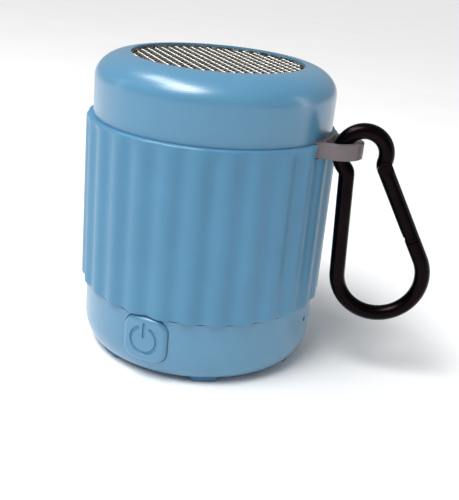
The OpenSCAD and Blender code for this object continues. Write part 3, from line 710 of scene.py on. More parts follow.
@dataclass
class Studio:
    """Camera, pale floor and soft light.

    Attributes:
        focal: Focal length in pixels of the render.
        frame_height: Height of the render in pixels.
        sensor: Width of the sensor along the render's longer side, in millimetres.
        distance: Distance of the camera from the point it aims past, in millimetres.
        pitch: Angle by which the camera looks down, in radians.
        roll: Tilt of the camera, in radians.
        aim: Sideways and upward turn of the camera away from the aimed point, in radians.
        azimuth: Angle by which the camera stands to the right of the speaker's front, in degrees.
        centre_z: Height of the aimed point, in millimetres.
        room: Strength of the light from the white walls.
        ceiling: Strength of the soft light from above.
        ceiling_spread: Angle that this light covers, in degrees.
        ceiling_at: Its direction from +X and its tilt away from straight above, in degrees.
        floor_half: Half width of the floor in metres.
        floor_squares: Number of squares along the floor.
        aim_height: Height that the soft boxes are aimed at, in metres.
        boxes: The soft boxes; the camera stands at -66.5 degrees.
    """

    focal: float = 843.2207
    frame_height: float = 500.0
    sensor: float = 36.0
    distance: float = 267.1363
    pitch: float = 0.329227
    roll: float = 0.0849699
    aim: Point2 = (0.0283364, -0.0436441)
    azimuth: float = 23.5
    centre_z: float = 42.0
    room: float = 0.36
    ceiling: float = 1.85
    ceiling_spread: float = 34.0
    ceiling_at: Point2 = (-112.0, 32.0)
    floor_half: float = 6.0
    floor_squares: int = 8
    aim_height: float = 0.05
    boxes: tuple[SoftBox, ...] = (
        SoftBox("top_box", -138.0, 0.58, 0.25, (0.55, 0.14), 2.1),
        SoftBox("left_box", -165.0, 0.2, 0.6, (0.06, 0.4), 0.12),
        SoftBox("right_box", 22.0, 0.2, 0.6, (0.06, 0.4), 0.3),
    )

    def camera(self) -> bpy.types.Object:
        """Places the camera.

        Returns:
            The scene's camera.
        """
        cp, sp = math.cos(self.pitch), math.sin(self.pitch)
        right, ahead, up = Vector((1, 0, 0)), Vector((0, cp, -sp)), Vector((0, sp, cp))
        cr, sr = math.cos(self.roll), math.sin(self.roll)
        ca, sa = math.cos(self.aim[0]), math.sin(self.aim[0])
        cb, sb = math.cos(self.aim[1]), math.sin(self.aim[1])
        level = cr * right + sr * up
        across = ca * level - sa * ahead
        depth = sa * level + ca * ahead
        tall = cr * up - sr * right
        upward = cb * tall - sb * depth
        forward = sb * tall + cb * depth
        turn = Matrix.Rotation(math.radians(self.azimuth), 4, "Z")
        spot = Vector((0, -self.distance * cp, self.distance * sp)) * MM
        rows = [[across[k], upward[k], -forward[k], spot[k]] for k in range(3)]
        matrix = Matrix(rows + [[0, 0, 0, 1]])
        data = bpy.data.cameras.new("camera")
        data.sensor_fit = "AUTO"
        data.sensor_width = self.sensor
        data.lens = self.focal * self.sensor / self.frame_height
        data.clip_start = 0.01
        obj = bpy.data.objects.new("camera", data)
        obj.matrix_world = Matrix.Translation((0, 0, self.centre_z * MM)) @ turn @ matrix
        bpy.context.scene.collection.objects.link(obj)
        bpy.context.scene.camera = obj
        return obj

    def floor(self) -> None:
        """Lays the pale floor."""
        work = bmesh.new()
        squares = self.floor_squares
        bmesh.ops.create_grid(work, x_segments=squares, y_segments=squares, size=self.floor_half)
        mesh = bpy.data.meshes.new("floor")
        work.to_mesh(mesh)
        work.free()
        to_object("floor", mesh, Finishes.FLOOR)

    def lamp(self, box: SoftBox) -> None:
        """Adds a soft box.

        Args:
            box: Its place, size and power.
        """
        data = bpy.data.lights.new(box.name, "AREA")
        data.shape = "RECTANGLE"
        data.size, data.size_y = box.size
        data.energy = box.power
        obj = bpy.data.objects.new(box.name, data)
        a = math.radians(box.azimuth)
        spot = Vector((box.distance * math.cos(a), box.distance * math.sin(a), box.height))
        aim = Vector((0.0, 0.0, self.aim_height)) - spot
        obj.matrix_world = Matrix.Translation(spot) @ aim.to_track_quat("-Z", "Y").to_matrix().to_4x4()
        bpy.context.scene.collection.objects.link(obj)

    def light(self) -> None:
        """Sets the white walls, the light from above and the soft boxes."""
        world = bpy.data.worlds.new("white_room")
        world.use_nodes = True
        tree = world.node_tree
        tree.nodes.clear()
        # the walls look white, and light the speaker less than they show
        seen = add_node(tree, "ShaderNodeLightPath").outputs["Is Camera Ray"]
        strength = add_node(
            tree, "ShaderNodeMapRange", {"Value": seen, "To Min": self.room, "To Max": 1.0}
        ).outputs["Result"]
        white = (1.0, 1.0, 1.0, 1.0)
        walls = add_node(tree, "ShaderNodeBackground", {"Color": white, "Strength": strength})
        add_node(tree, "ShaderNodeOutputWorld", {"Surface": walls.outputs[0]})
        scene = bpy.context.scene
        scene.world = world
        scene.view_settings.view_transform = "Standard"
        sky = bpy.data.lights.new("ceiling", "SUN")
        sky.energy, sky.angle = self.ceiling, math.radians(self.ceiling_spread)
        obj = bpy.data.objects.new("ceiling", sky)
        side, tilt = (math.radians(angle) for angle in self.ceiling_at)
        obj.matrix_world = Matrix.Rotation(side, 4, "Z") @ Matrix.Rotation(tilt, 4, "Y")
        scene.collection.objects.link(obj)
        for box in self.boxes:
            self.lamp(box)

    def build(self) -> None:
        """Sets up camera, floor and light."""
        self.camera()
        self.floor()
        self.light()


# ---- Casing ----


@dataclass
class Casing:
    """Base and cap casing with the seal and screws between them."""

    def build(self) -> None:
        """Dresses the casing's nodes."""
        dress(Finishes.SHELL, "base_shell", "top_shell")
        dress(Finishes.SEAL, "shell_seal")
        dress(Finishes.ZINC, "case_screws")


@dataclass
class GripSleeve:
    """Rubber sleeve with lobes round it that fade out below its top lip.

    Attributes:
        radius: Radius over the lobes' crests, in millimetres.
        bore: Inner radius.
        low: Height of the lower edge.
        high: Height of the upper edge.
        lobes: Number of lobes.
        depth: Depth of the valleys.
        low_round: Width and height of the round at the lower edge.
        top_round: Radius of the round at the upper edge.
        lip_inset: Distance by which the plain lip lies inside the crests.
        fade: Distances below the upper edge where the lobes begin to fade and end doing so.
        fade_to: Share of a lobe's depth that is left at the lip.
        narrow: Power of the wave between crests; a higher one makes narrower valleys.
        skin: Thickness next to the bore that the lobes leave alone.
        notch: Half width and lower edge of the notch for the eyelet.
        notch_reach: Inner and outer end of the notch's cutter from the axis.
        lobe_steps: Steps round each lobe.
        levels: Steps up the side.
        edge_steps: Steps round the lower and the upper edge.
    """

    radius: float = 38.0
    bore: float = 35.5
    low: float = 20.6
    high: float = 72.4
    lobes: int = 28
    depth: float = 1.0
    low_round: Point2 = (0.9, 1.5)
    top_round: float = 0.7
    lip_inset: float = 0.12
    fade: Point2 = (2.4, 0.4)
    fade_to: float = 0.3
    narrow: float = 2.4
    skin: float = 0.3
    notch: Point2 = (8.9, 68.3)
    notch_reach: Point2 = (30.0, 45.0)
    lobe_steps: int = 14
    levels: int = 30
    edge_steps: tuple[int, int] = (9, 10)

    def plain(self) -> bpy.types.Mesh:
        """Turns the sleeve as a plain ring, before its lobes.

        Returns:
            The ring's mesh.
        """
        low_w, low_h = self.low_round
        top = self.top_round
        low_steps, top_steps = self.edge_steps
        outside = arc((self.radius - low_w, self.low + low_h), low_w, low_h, -90, 0, low_steps)
        side_h = self.high - top - self.low - low_h
        rise = [(self.radius, self.low + low_h + side_h * i / self.levels) for i in range(1, self.levels)]
        lip = arc((self.radius - top, self.high - top), top, top, 0, 90, top_steps)
        profile = [(self.bore, self.low)] + outside + rise + lip + [(self.bore, self.high)]
        return lathe(profile, self.lobes * self.lobe_steps, "sleeve")

    def fluted(self) -> bpy.types.Mesh:
        """Presses the lobes into the plain ring.

        Returns:
            The fluted mesh.
        """
        shape = NodeShape(
            "sleeve_lobes",
            {
                "Lobes": int(self.lobes),
                "Depth": self.depth * MM,
                "Bore": (self.bore + self.skin) * MM,
                "Fade Start": (self.high - self.fade[0]) * MM,
                "Fade End": (self.high - self.fade[1]) * MM,
                "Lip Inset": self.lip_inset * MM,
            },
        )
        tree = shape.tree
        spot = add_node(tree, "GeometryNodeInputPosition").outputs[0]
        parts = add_node(tree, "ShaderNodeSeparateXYZ", {0: spot})
        x, y, z = (parts.outputs[k] for k in range(3))
        angle = shape.math("ARCTAN2", y, x)
        turns = shape.math("MULTIPLY", angle, shape.math("DIVIDE", shape.size("Lobes"), 2 * math.pi))
        # a whole number of turns is added so that the part after the point is never taken of a negative
        lobe = shape.math("FRACT", shape.math("ADD", turns, 100.0))
        phase = shape.math("ABSOLUTE", shape.math("SUBTRACT", shape.math("MULTIPLY", lobe, 2.0), 1.0))
        wave = shape.math("SINE", shape.math("MULTIPLY", phase, math.pi / 2))
        dip = shape.math("POWER", wave, self.narrow)
        fade = add_node(
            tree,
            "ShaderNodeMapRange",
            {
                "Value": z,
                "From Min": shape.size("Fade Start"),
                "From Max": shape.size("Fade End"),
                "To Min": 1.0,
                "To Max": self.fade_to,
            },
            interpolation_type="SMOOTHSTEP",
        ).outputs["Result"]
        lobed = shape.math("MULTIPLY", shape.math("MULTIPLY", dip, shape.size("Depth")), fade)
        lip = shape.math("MULTIPLY", shape.math("SUBTRACT", 1.0, fade), shape.size("Lip Inset"))
        inward = shape.math("MULTIPLY", shape.math("ADD", lobed, lip), -1.0)
        flat = add_node(tree, "ShaderNodeCombineXYZ", {0: x, 1: y, 2: 0.0}).outputs[0]
        away = add_node(tree, "ShaderNodeVectorMath", {0: flat}, operation="NORMALIZE").outputs[0]
        radius = add_node(tree, "ShaderNodeVectorMath", {0: flat}, operation="LENGTH").outputs["Value"]
        moved = add_node(
            tree,
            "GeometryNodeSetPosition",
            {
                "Geometry": shape.start.outputs["Geometry"],
                "Selection": add_node(
                    tree,
                    "FunctionNodeCompare",
                    {0: radius, 1: shape.size("Bore")},
                    data_type="FLOAT",
                    operation="GREATER_THAN",
                ).outputs[0],
                "Offset": add_node(
                    tree, "ShaderNodeVectorMath", {0: away, "Scale": inward}, operation="SCALE"
                ).outputs[0],
            },
        )
        shape.finish(moved.outputs[0], Finishes.GRIP)
        return shape.mesh(self.plain())

    def build(self) -> None:
        """Builds the sleeve and cuts the eyelet's notch out of it."""
        half, floor = self.notch
        inner, outer = self.notch_reach
        cutter = block((inner, -half, floor), (outer, half, self.high + 5))
        mesh = combined(self.fluted(), cutter, "DIFFERENCE", "sleeve")
        place(shaded(mesh, 50), "sleeve", Body.HOUSING, Finishes.GRIP, "grip", ["grip_sleeve"])


# ---- Feet ----


@dataclass
class Feet:
    """Rubber pads on a circle under the base.

    Attributes:
        count: Number of pads.
        ring: Radius of their circle, in millimetres.
        length: Length of a pad along the circle.
        width: Width of a pad.
        height: Height of a pad, with the part sunk in the base.
        round: Radius of the pad's lower edge.
        edge_steps: Steps round that edge.
        end_steps: Steps round each of the pad's ends.
    """

    count: int = 6
    ring: float = 30.6
    length: float = 9.0
    width: float = 4.6
    height: float = 2.2
    round: float = 0.8
    edge_steps: int = 5
    end_steps: int = 12

    def pad(self) -> bpy.types.Mesh:
        """Makes one pad at the origin, its length along Y.

        Returns:
            The pad's mesh.
        """
        work = bmesh.new()
        half = (self.length - self.width) / 2
        r = self.width / 2
        rings = []
        edge = arc((r - self.round, self.round), self.round, self.round, -90, 0, self.edge_steps)
        for radius, z in edge + [(r, self.height)]:
            outline = arc((0, half), radius, radius, 0, 180, self.end_steps)
            outline += arc((0, -half), radius, radius, 180, 360, self.end_steps)
            rings.append([work.verts.new((x * MM, y * MM, z * MM)) for x, y in outline])
        for one, two in zip(rings, rings[1:]):
            for k in range(len(one)):
                work.faces.new((one[k], one[(k + 1) % len(one)], two[(k + 1) % len(one)], two[k]))
        work.faces.new(reversed(rings[0]))
        work.faces.new(rings[-1])
        return from_bmesh(work, "pad")

    def build(self) -> None:
        """Sets the pads round the circle."""
        shape = NodeShape("foot_circle", {"Count": int(self.count), "Ring": self.ring * MM})
        tree = shape.tree
        circle = add_node(
            tree, "GeometryNodeMeshCircle", {"Vertices": shape.size("Count"), "Radius": shape.size("Ring")}
        )
        index = add_node(tree, "GeometryNodeInputIndex").outputs[0]
        turn = shape.math("DIVIDE", shape.math("MULTIPLY", index, 2 * math.pi), shape.size("Count"))
        spread = add_node(
            tree,
            "GeometryNodeInstanceOnPoints",
            {
                "Points": circle.outputs[0],
                "Instance": shape.start.outputs["Geometry"],
                "Rotation": add_node(tree, "ShaderNodeCombineXYZ", {2: turn}).outputs[0],
            },
        )
        shape.finish(spread.outputs[0], Finishes.FOOT)
        mesh = shaded(shape.mesh(self.pad()), 50)
        place(mesh, "foot_pads", Body.HOUSING, Finishes.FOOT, "foot_rubber", ["feet"])


# ---- Grille ----


@dataclass
class Grille:
    """Plain-woven wire grille in its hoop over the splash membrane.

    Attributes:
        radius: Radius that the wires reach, in millimetres.
        wire: Thickness of the wire.
        pitch: Distance from wire to wire.
        top: Height of the hoop's top.
        sunk: Depth of the wires' middle plane below it.
        steps: Points on each wire between two crossings.
        sides: Sides of the wire's section.
    """

    radius: float = 25.28
    wire: float = 0.64
    pitch: float = 1.88
    top: float = 90.3
    sunk: float = 0.84
    steps: int = 5
    sides: int = 7

    def weave(self) -> bpy.types.Mesh:
        """Weaves the wires.

        Returns:
            One mesh with the wires both ways.
        """
        rows = int((self.radius - self.wire / 2) / self.pitch)
        shape = NodeShape(
            "wire_weave",
            {
                "Radius": self.radius * MM,
                "Wire Radius": self.wire / 2 * MM,
                "Pitch": self.pitch * MM,
                "Middle": (self.top - self.sunk) * MM,
                "Rows": 2 * rows + 1,
                "Points": int(2 * (rows + 1) * self.steps + 1),
            },
        )
        tree = shape.tree
        pitch = shape.size("Pitch")
        reach = shape.math("MULTIPLY", shape.math("SUBTRACT", shape.size("Points"), 1.0), 0.5)
        step = shape.math("DIVIDE", pitch, float(self.steps))
        middle_row = shape.math("MULTIPLY", shape.math("SUBTRACT", shape.size("Rows"), 1.0), 0.5)
        layers = []
        for along in (0, 1):
            across = 1 - along
            line = self.line(shape, along, shape.size("Points"), step, reach)
            posts = self.line(shape, across, shape.size("Rows"), pitch, middle_row)
            spread = add_node(tree, "GeometryNodeInstanceOnPoints", {"Points": posts, "Instance": line})
            real = add_node(tree, "GeometryNodeRealizeInstances", {0: spread.outputs[0]})
            spot = add_node(tree, "GeometryNodeInputPosition").outputs[0]
            parts = add_node(tree, "ShaderNodeSeparateXYZ", {0: spot})
            away = shape.math(
                "SQRT",
                shape.math(
                    "ADD",
                    shape.math("MULTIPLY", parts.outputs[0], parts.outputs[0]),
                    shape.math("MULTIPLY", parts.outputs[1], parts.outputs[1]),
                ),
            )
            outside = add_node(
                tree,
                "FunctionNodeCompare",
                {0: away, 1: shape.math("SUBTRACT", shape.size("Radius"), shape.size("Wire Radius"))},
                data_type="FLOAT",
                operation="GREATER_THAN",
            ).outputs[0]
            trimmed = add_node(
                tree, "GeometryNodeDeleteGeometry", {"Geometry": real.outputs[0], "Selection": outside}
            )
            waves = [
                shape.math(
                    "COSINE", shape.math("MULTIPLY", shape.math("DIVIDE", parts.outputs[k], pitch), math.pi)
                )
                for k in (0, 1)
            ]
            swing = shape.math("MULTIPLY", waves[0], waves[1])
            rise = shape.math("MULTIPLY", swing, shape.size("Wire Radius"))
            signed = shape.math("MULTIPLY", rise, 1.0 if along == 0 else -1.0)
            lifted = add_node(
                tree,
                "GeometryNodeSetPosition",
                {
                    "Geometry": trimmed.outputs[0],
                    "Offset": add_node(
                        tree, "ShaderNodeCombineXYZ", {2: shape.math("ADD", signed, shape.size("Middle"))}
                    ).outputs[0],
                },
            )
            path = add_node(tree, "GeometryNodeMeshToCurve", {0: lifted.outputs[0]})
            section = add_node(
                tree,
                "GeometryNodeCurvePrimitiveCircle",
                {"Resolution": self.sides, "Radius": shape.size("Wire Radius")},
            )
            tube = add_node(
                tree,
                "GeometryNodeCurveToMesh",
                {"Curve": path.outputs[0], "Profile Curve": section.outputs[0], "Fill Caps": True},
            )
            layers.append(tube.outputs[0])
        joined = tree.nodes.new("GeometryNodeJoinGeometry")
        for layer in layers:
            tree.links.new(layer, joined.inputs[0])
        smooth = add_node(tree, "GeometryNodeSetShadeSmooth", {"Geometry": joined.outputs[0]})
        shape.finish(smooth.outputs[0], Finishes.WIRE)
        return shape.mesh(bpy.data.meshes.new("empty"))

    def line(
        self,
        shape: NodeShape,
        axis: int,
        count: bpy.types.NodeSocket,
        step: bpy.types.NodeSocket,
        reach: bpy.types.NodeSocket,
    ) -> bpy.types.NodeSocket:
        """Adds a row of points along an axis, centred on the origin.

        Args:
            shape: The tree.
            axis: 0 for X and 1 for Y.
            count: Number of points.
            step: Distance between them.
            reach: Number of steps from the middle to the end.

        Returns:
            The geometry socket.
        """
        start = shape.math("MULTIPLY", shape.math("MULTIPLY", step, reach), -1.0)
        return add_node(
            shape.tree,
            "GeometryNodeMeshLine",
            {
                "Count": count,
                "Start Location": add_node(shape.tree, "ShaderNodeCombineXYZ", {axis: start}).outputs[0],
                "Offset": add_node(shape.tree, "ShaderNodeCombineXYZ", {axis: step}).outputs[0],
            },
            mode="OFFSET",
        ).outputs[0]

    def build(self) -> None:
        """Builds the wires and dresses the hoop and the membrane."""
        place(self.weave(), "woven_grille", Body.HOUSING, Finishes.WIRE, "wire", ["grille_wires"])
        dress(Finishes.WIRE, "grille_hoop")
        dress(Finishes.FILM, "splash_membrane")


# ---- Power button ----


@dataclass
class PowerButton:
    """Domed square button with an engraved on-off sign.

    Attributes:
        centre_z: Height of the button's middle, in millimetres.
        side: Width and height.
        corner: Radius of its corners.
        edge: Radius of the round at the front edge.
        out: Radius of its front face round the casing's axis.
        back: Distance of its back from the axis.
        dome: Depth by which the face falls off at the top and bottom, and the power it does so by.
        rim: Distance by which the rim behind the casing's wall stands out.
        rim_cut: Distance by which the rim stands out less above and below.
        rim_thick: Thickness of the rim.
        stem_in: Depth by which the stem's root sits in the button.
        stem: Start and radius of the stem that presses the switch.
        sign_r: Middle radius of the sign's ring.
        sign_gap: Half angle of the gap in the ring, in degrees.
        bar: Lower and upper end of the sign's bar above the middle.
        groove: Half width and depth of the engraving.
        rings: Rings of faces from the middle of the front face to its edge.
        steps: Points round the outline.
        corner_steps: Points round each corner from which the outline is stepped off.
    """

    centre_z: float = 13.35
    side: float = 14.1
    corner: float = 4.15
    edge: float = 1.3
    out: float = 37.6
    back: float = 31.4
    dome: Point2 = (0.28, 2.5)
    rim: float = 1.2
    rim_cut: float = 0.5
    rim_thick: float = 1.0
    stem_in: float = 0.5
    stem: Point2 = (28.52, 1.6)
    sign_r: float = 4.15
    sign_gap: float = 30.0
    bar: Point2 = (0.85, 4.95)
    groove: Point2 = (0.5, 0.55)
    rings: int = 84
    steps: int = 288
    corner_steps: int = 40

    def outline(self) -> list[Point2]:
        """Steps off points evenly round the button's rounded square.

        Returns:
            The points, sideways and upwards from the face's middle.
        """
        flat = self.side / 2 - self.corner
        dense: list[Point2] = []
        for sx, sz, a in ((1, 1, 0), (-1, 1, 90), (-1, -1, 180), (1, -1, 270)):
            dense += arc((sx * flat, sz * flat), self.corner, self.corner, a, a + 90, self.corner_steps)
        dense.append(dense[0])
        lengths = [0.0]
        for p, q in zip(dense, dense[1:]):
            lengths.append(lengths[-1] + math.dist(p, q))
        points, k = [], 0
        for i in range(self.steps):
            goal = lengths[-1] * i / self.steps
            while lengths[k + 1] < goal:
                k += 1
            share = (goal - lengths[k]) / max(lengths[k + 1] - lengths[k], 1e-9)
            points.append(
                (
                    dense[k][0] + share * (dense[k + 1][0] - dense[k][0]),
                    dense[k][1] + share * (dense[k + 1][1] - dense[k][1]),
                )
            )
        return points

    def inside(self, x: float, z: float) -> float:
        """Measures how far a point of the face is inside the button's outline.

        Args:
            x: Sideways distance from the face's middle.
            z: Upward distance from it.

        Returns:
            The distance in millimetres.
        """
        flat = self.side / 2 - self.corner
        qx, qz = abs(x) - flat, abs(z) - flat
        return self.corner - math.hypot(max(qx, 0.0), max(qz, 0.0)) - min(max(qx, qz), 0.0)

    def engraving(self, x: float, z: float) -> float:
        """Works out the sign's groove at a point of the face.

        Args:
            x: Sideways distance from the face's middle.
            z: Upward distance from it.

        Returns:
            The groove's depth in millimetres.
        """
        angle = math.degrees(math.atan2(x, z))
        if abs(angle) >= self.sign_gap:
            ring = abs(math.hypot(x, z) - self.sign_r)
        else:
            end = math.radians(self.sign_gap)
            ring = math.hypot(abs(x) - self.sign_r * math.sin(end), z - self.sign_r * math.cos(end))
        low, high = self.bar
        bar = math.hypot(x, z - min(max(z, low), high))
        width, depth = self.groove
        share = min(min(ring, bar) / width, 1.0)
        return depth * (1 - share**4)

    def surface(self, x: float, z: float) -> float:
        """Works out how far the front face is from the casing's axis.

        Args:
            x: Sideways distance from the face's middle.
            z: Upward distance from it.

        Returns:
            The distance in millimetres.
        """
        base = math.sqrt(self.out**2 - x * x)
        margin = max(self.edge - self.inside(x, z), 0.0)
        drop = self.edge - math.sqrt(max(self.edge**2 - margin**2, 0.0))
        depth, power = self.dome
        dome = depth * (abs(z) / (self.side / 2)) ** power
        return base - drop - dome - self.engraving(x, z)

    def build(self) -> None:
        """Builds the button with its rim and stem."""
        work = bmesh.new()
        outline = self.outline()
        loops = []
        for i in range(1, self.rings + 1):
            share = i / self.rings
            loops.append([self.vert(work, x * share, z * share) for x, z in outline])
        middle = self.vert(work, 0.0, 0.0)
        count = len(outline)
        for k in range(count):
            work.faces.new((middle, loops[0][k], loops[0][(k + 1) % count]))
        for one, two in zip(loops, loops[1:]):
            for k in range(count):
                work.faces.new((one[k], two[k], two[(k + 1) % count], one[(k + 1) % count]))
        back_loop = [work.verts.new((x * MM, -self.back * MM, (self.centre_z + z) * MM)) for x, z in outline]
        front = loops[-1]
        for k in range(count):
            work.faces.new((front[k], back_loop[k], back_loop[(k + 1) % count], front[(k + 1) % count]))
        work.faces.new(back_loop)
        body = from_bmesh(work, "button")
        half = self.side / 2 + self.rim
        rim = block(
            (-half, -self.back - OVERLAP, self.centre_z - half + self.rim_cut),
            (half, -self.back + self.rim_thick, self.centre_z + half - self.rim_cut),
        )
        start, radius = self.stem
        root = Vector((0, -self.back + self.stem_in, self.centre_z))
        stem = rod(root, Vector((0, -start, self.centre_z)), radius)
        mesh = combined(combined(body, rim, "UNION", "button"), stem, "UNION", "button")
        place(shaded(mesh, 40), "button_cap", Body.BUTTON, Finishes.SHELL, "shell", ["power_button"])
        dress(Finishes.ACETAL, "switch_plunger")

    def vert(self, work: bmesh.types.BMesh, x: float, z: float) -> bmesh.types.BMVert:
        """Adds a vertex of the front face at a sideways and upward distance from its middle."""
        return work.verts.new((x * MM, -self.surface(x, z) * MM, (self.centre_z + z) * MM))


# ---- Eyelet ----


@dataclass
class Eyelet:
    """Flat eyelet on the side of the cap, flared at its root.

    Attributes:
        middle_z: Height of its middle, in millimetres.
        thick: Thickness.
        half_w: Half width.
        reach: Distance of its outer end from the axis.
        bar: Thickness of its outer bar.
        hole_r: Radius of the hole.
        hole_start: Distance of the hole's flat side from the axis.
        flare: Width of the flare on each side.
        fillet: Reach of the flare.
        foot: Distance of the flare's foot from the axis.
        root: Radius of its end round the casing's axis.
        round: Radius of its edges.
        tenon: Inner and outer end, half width and half height of the tenon that goes into the cap.
    """

    middle_z: float = 70.8
    thick: float = 4.4
    half_w: float = 7.7
    reach: float = 47.02
    bar: float = 2.6
    hole_r: float = 5.5
    hole_start: float = 37.0
    flare: float = 0.9
    fillet: float = 3.0
    foot: float = 36.0
    root: float = 35.55
    round: float = 1.2
    tenon: tuple[float, float, float, float] = (31.4, 36.6, 6.0, 1.5)

    def outlines(self) -> tuple[list[Point2], list[Point2]]:
        """Draws the eyelet from above, outwards along X.

        Returns:
            The outer outline and the hole's, both anticlockwise.
        """
        end = self.reach - self.half_w
        wide = self.half_w + self.flare
        shoulder = self.foot + self.fillet
        side = arc((shoulder, wide), self.fillet, self.flare, 180, 270, 10)
        turn = math.degrees(math.acos((shoulder - end) / self.half_w))
        tip = arc((end, 0), self.half_w, self.half_w, -turn + 2, turn - 2, 48)
        corner = math.degrees(math.asin(wide / self.root))
        inner = arc((0, 0), self.root, self.root, corner, -corner, 16)
        outer = [(x, -y) for x, y in side] + tip + side[::-1] + inner
        hole_x = self.reach - self.bar - self.hole_r
        cut = math.degrees(math.acos((self.hole_start - hole_x) / self.hole_r))
        hole = arc((hole_x, 0), self.hole_r, self.hole_r, -cut, cut, 40)
        return outer, hole

    def build(self) -> None:
        """Builds the eyelet and its tenon and dresses what holds it."""
        outer, hole = self.outlines()
        bodies = [self.slab(outline, grow) for outline, grow in ((outer, 0.0), (hole, 1.0))]
        mesh = combined(bodies[0], bodies[1], "DIFFERENCE", "eyelet")
        obj = to_object("eyelet_rounding", mesh)
        bevel = obj.modifiers.new("round", "BEVEL")
        bevel.width, bevel.segments, bevel.limit_method = self.round * MM, 5, "ANGLE"
        bevel.angle_limit = math.radians(40)
        mesh = evaluated(obj, "eyelet")
        inner, outer_end, half_w, half_h = self.tenon
        tenon = block((inner, -half_w, self.middle_z - half_h), (outer_end, half_w, self.middle_z + half_h))
        mesh = combined(mesh, tenon, "UNION", "eyelet")
        place(shaded(mesh, 40), "side_eyelet", Body.HOUSING, Finishes.EYELET, "eyelet", ["carabiner_loop"])
        dress(Finishes.ZINC, "loop_plate", "loop_screws")

    def slab(self, outline: list[Point2], grow: float) -> bpy.types.Mesh:
        """Makes a slab of the eyelet's thickness.

        Args:
            outline: Its outline, anticlockwise.
            grow: Distance by which it stands out above and below the eyelet, in millimetres.

        Returns:
            The slab's mesh.
        """
        work = bmesh.new()
        low, high = self.middle_z - self.thick / 2 - grow, self.middle_z + self.thick / 2 + grow
        below = [work.verts.new((x * MM, y * MM, low * MM)) for x, y in outline]
        above = [work.verts.new((x * MM, y * MM, high * MM)) for x, y in outline]
        count = len(outline)
        for k in range(count):
            work.faces.new((below[k], below[(k + 1) % count], above[(k + 1) % count], above[k]))
        work.faces.new(above)
        work.faces.new(below[::-1])
        return from_bmesh(work, "slab")


# ---- Snap hook ----


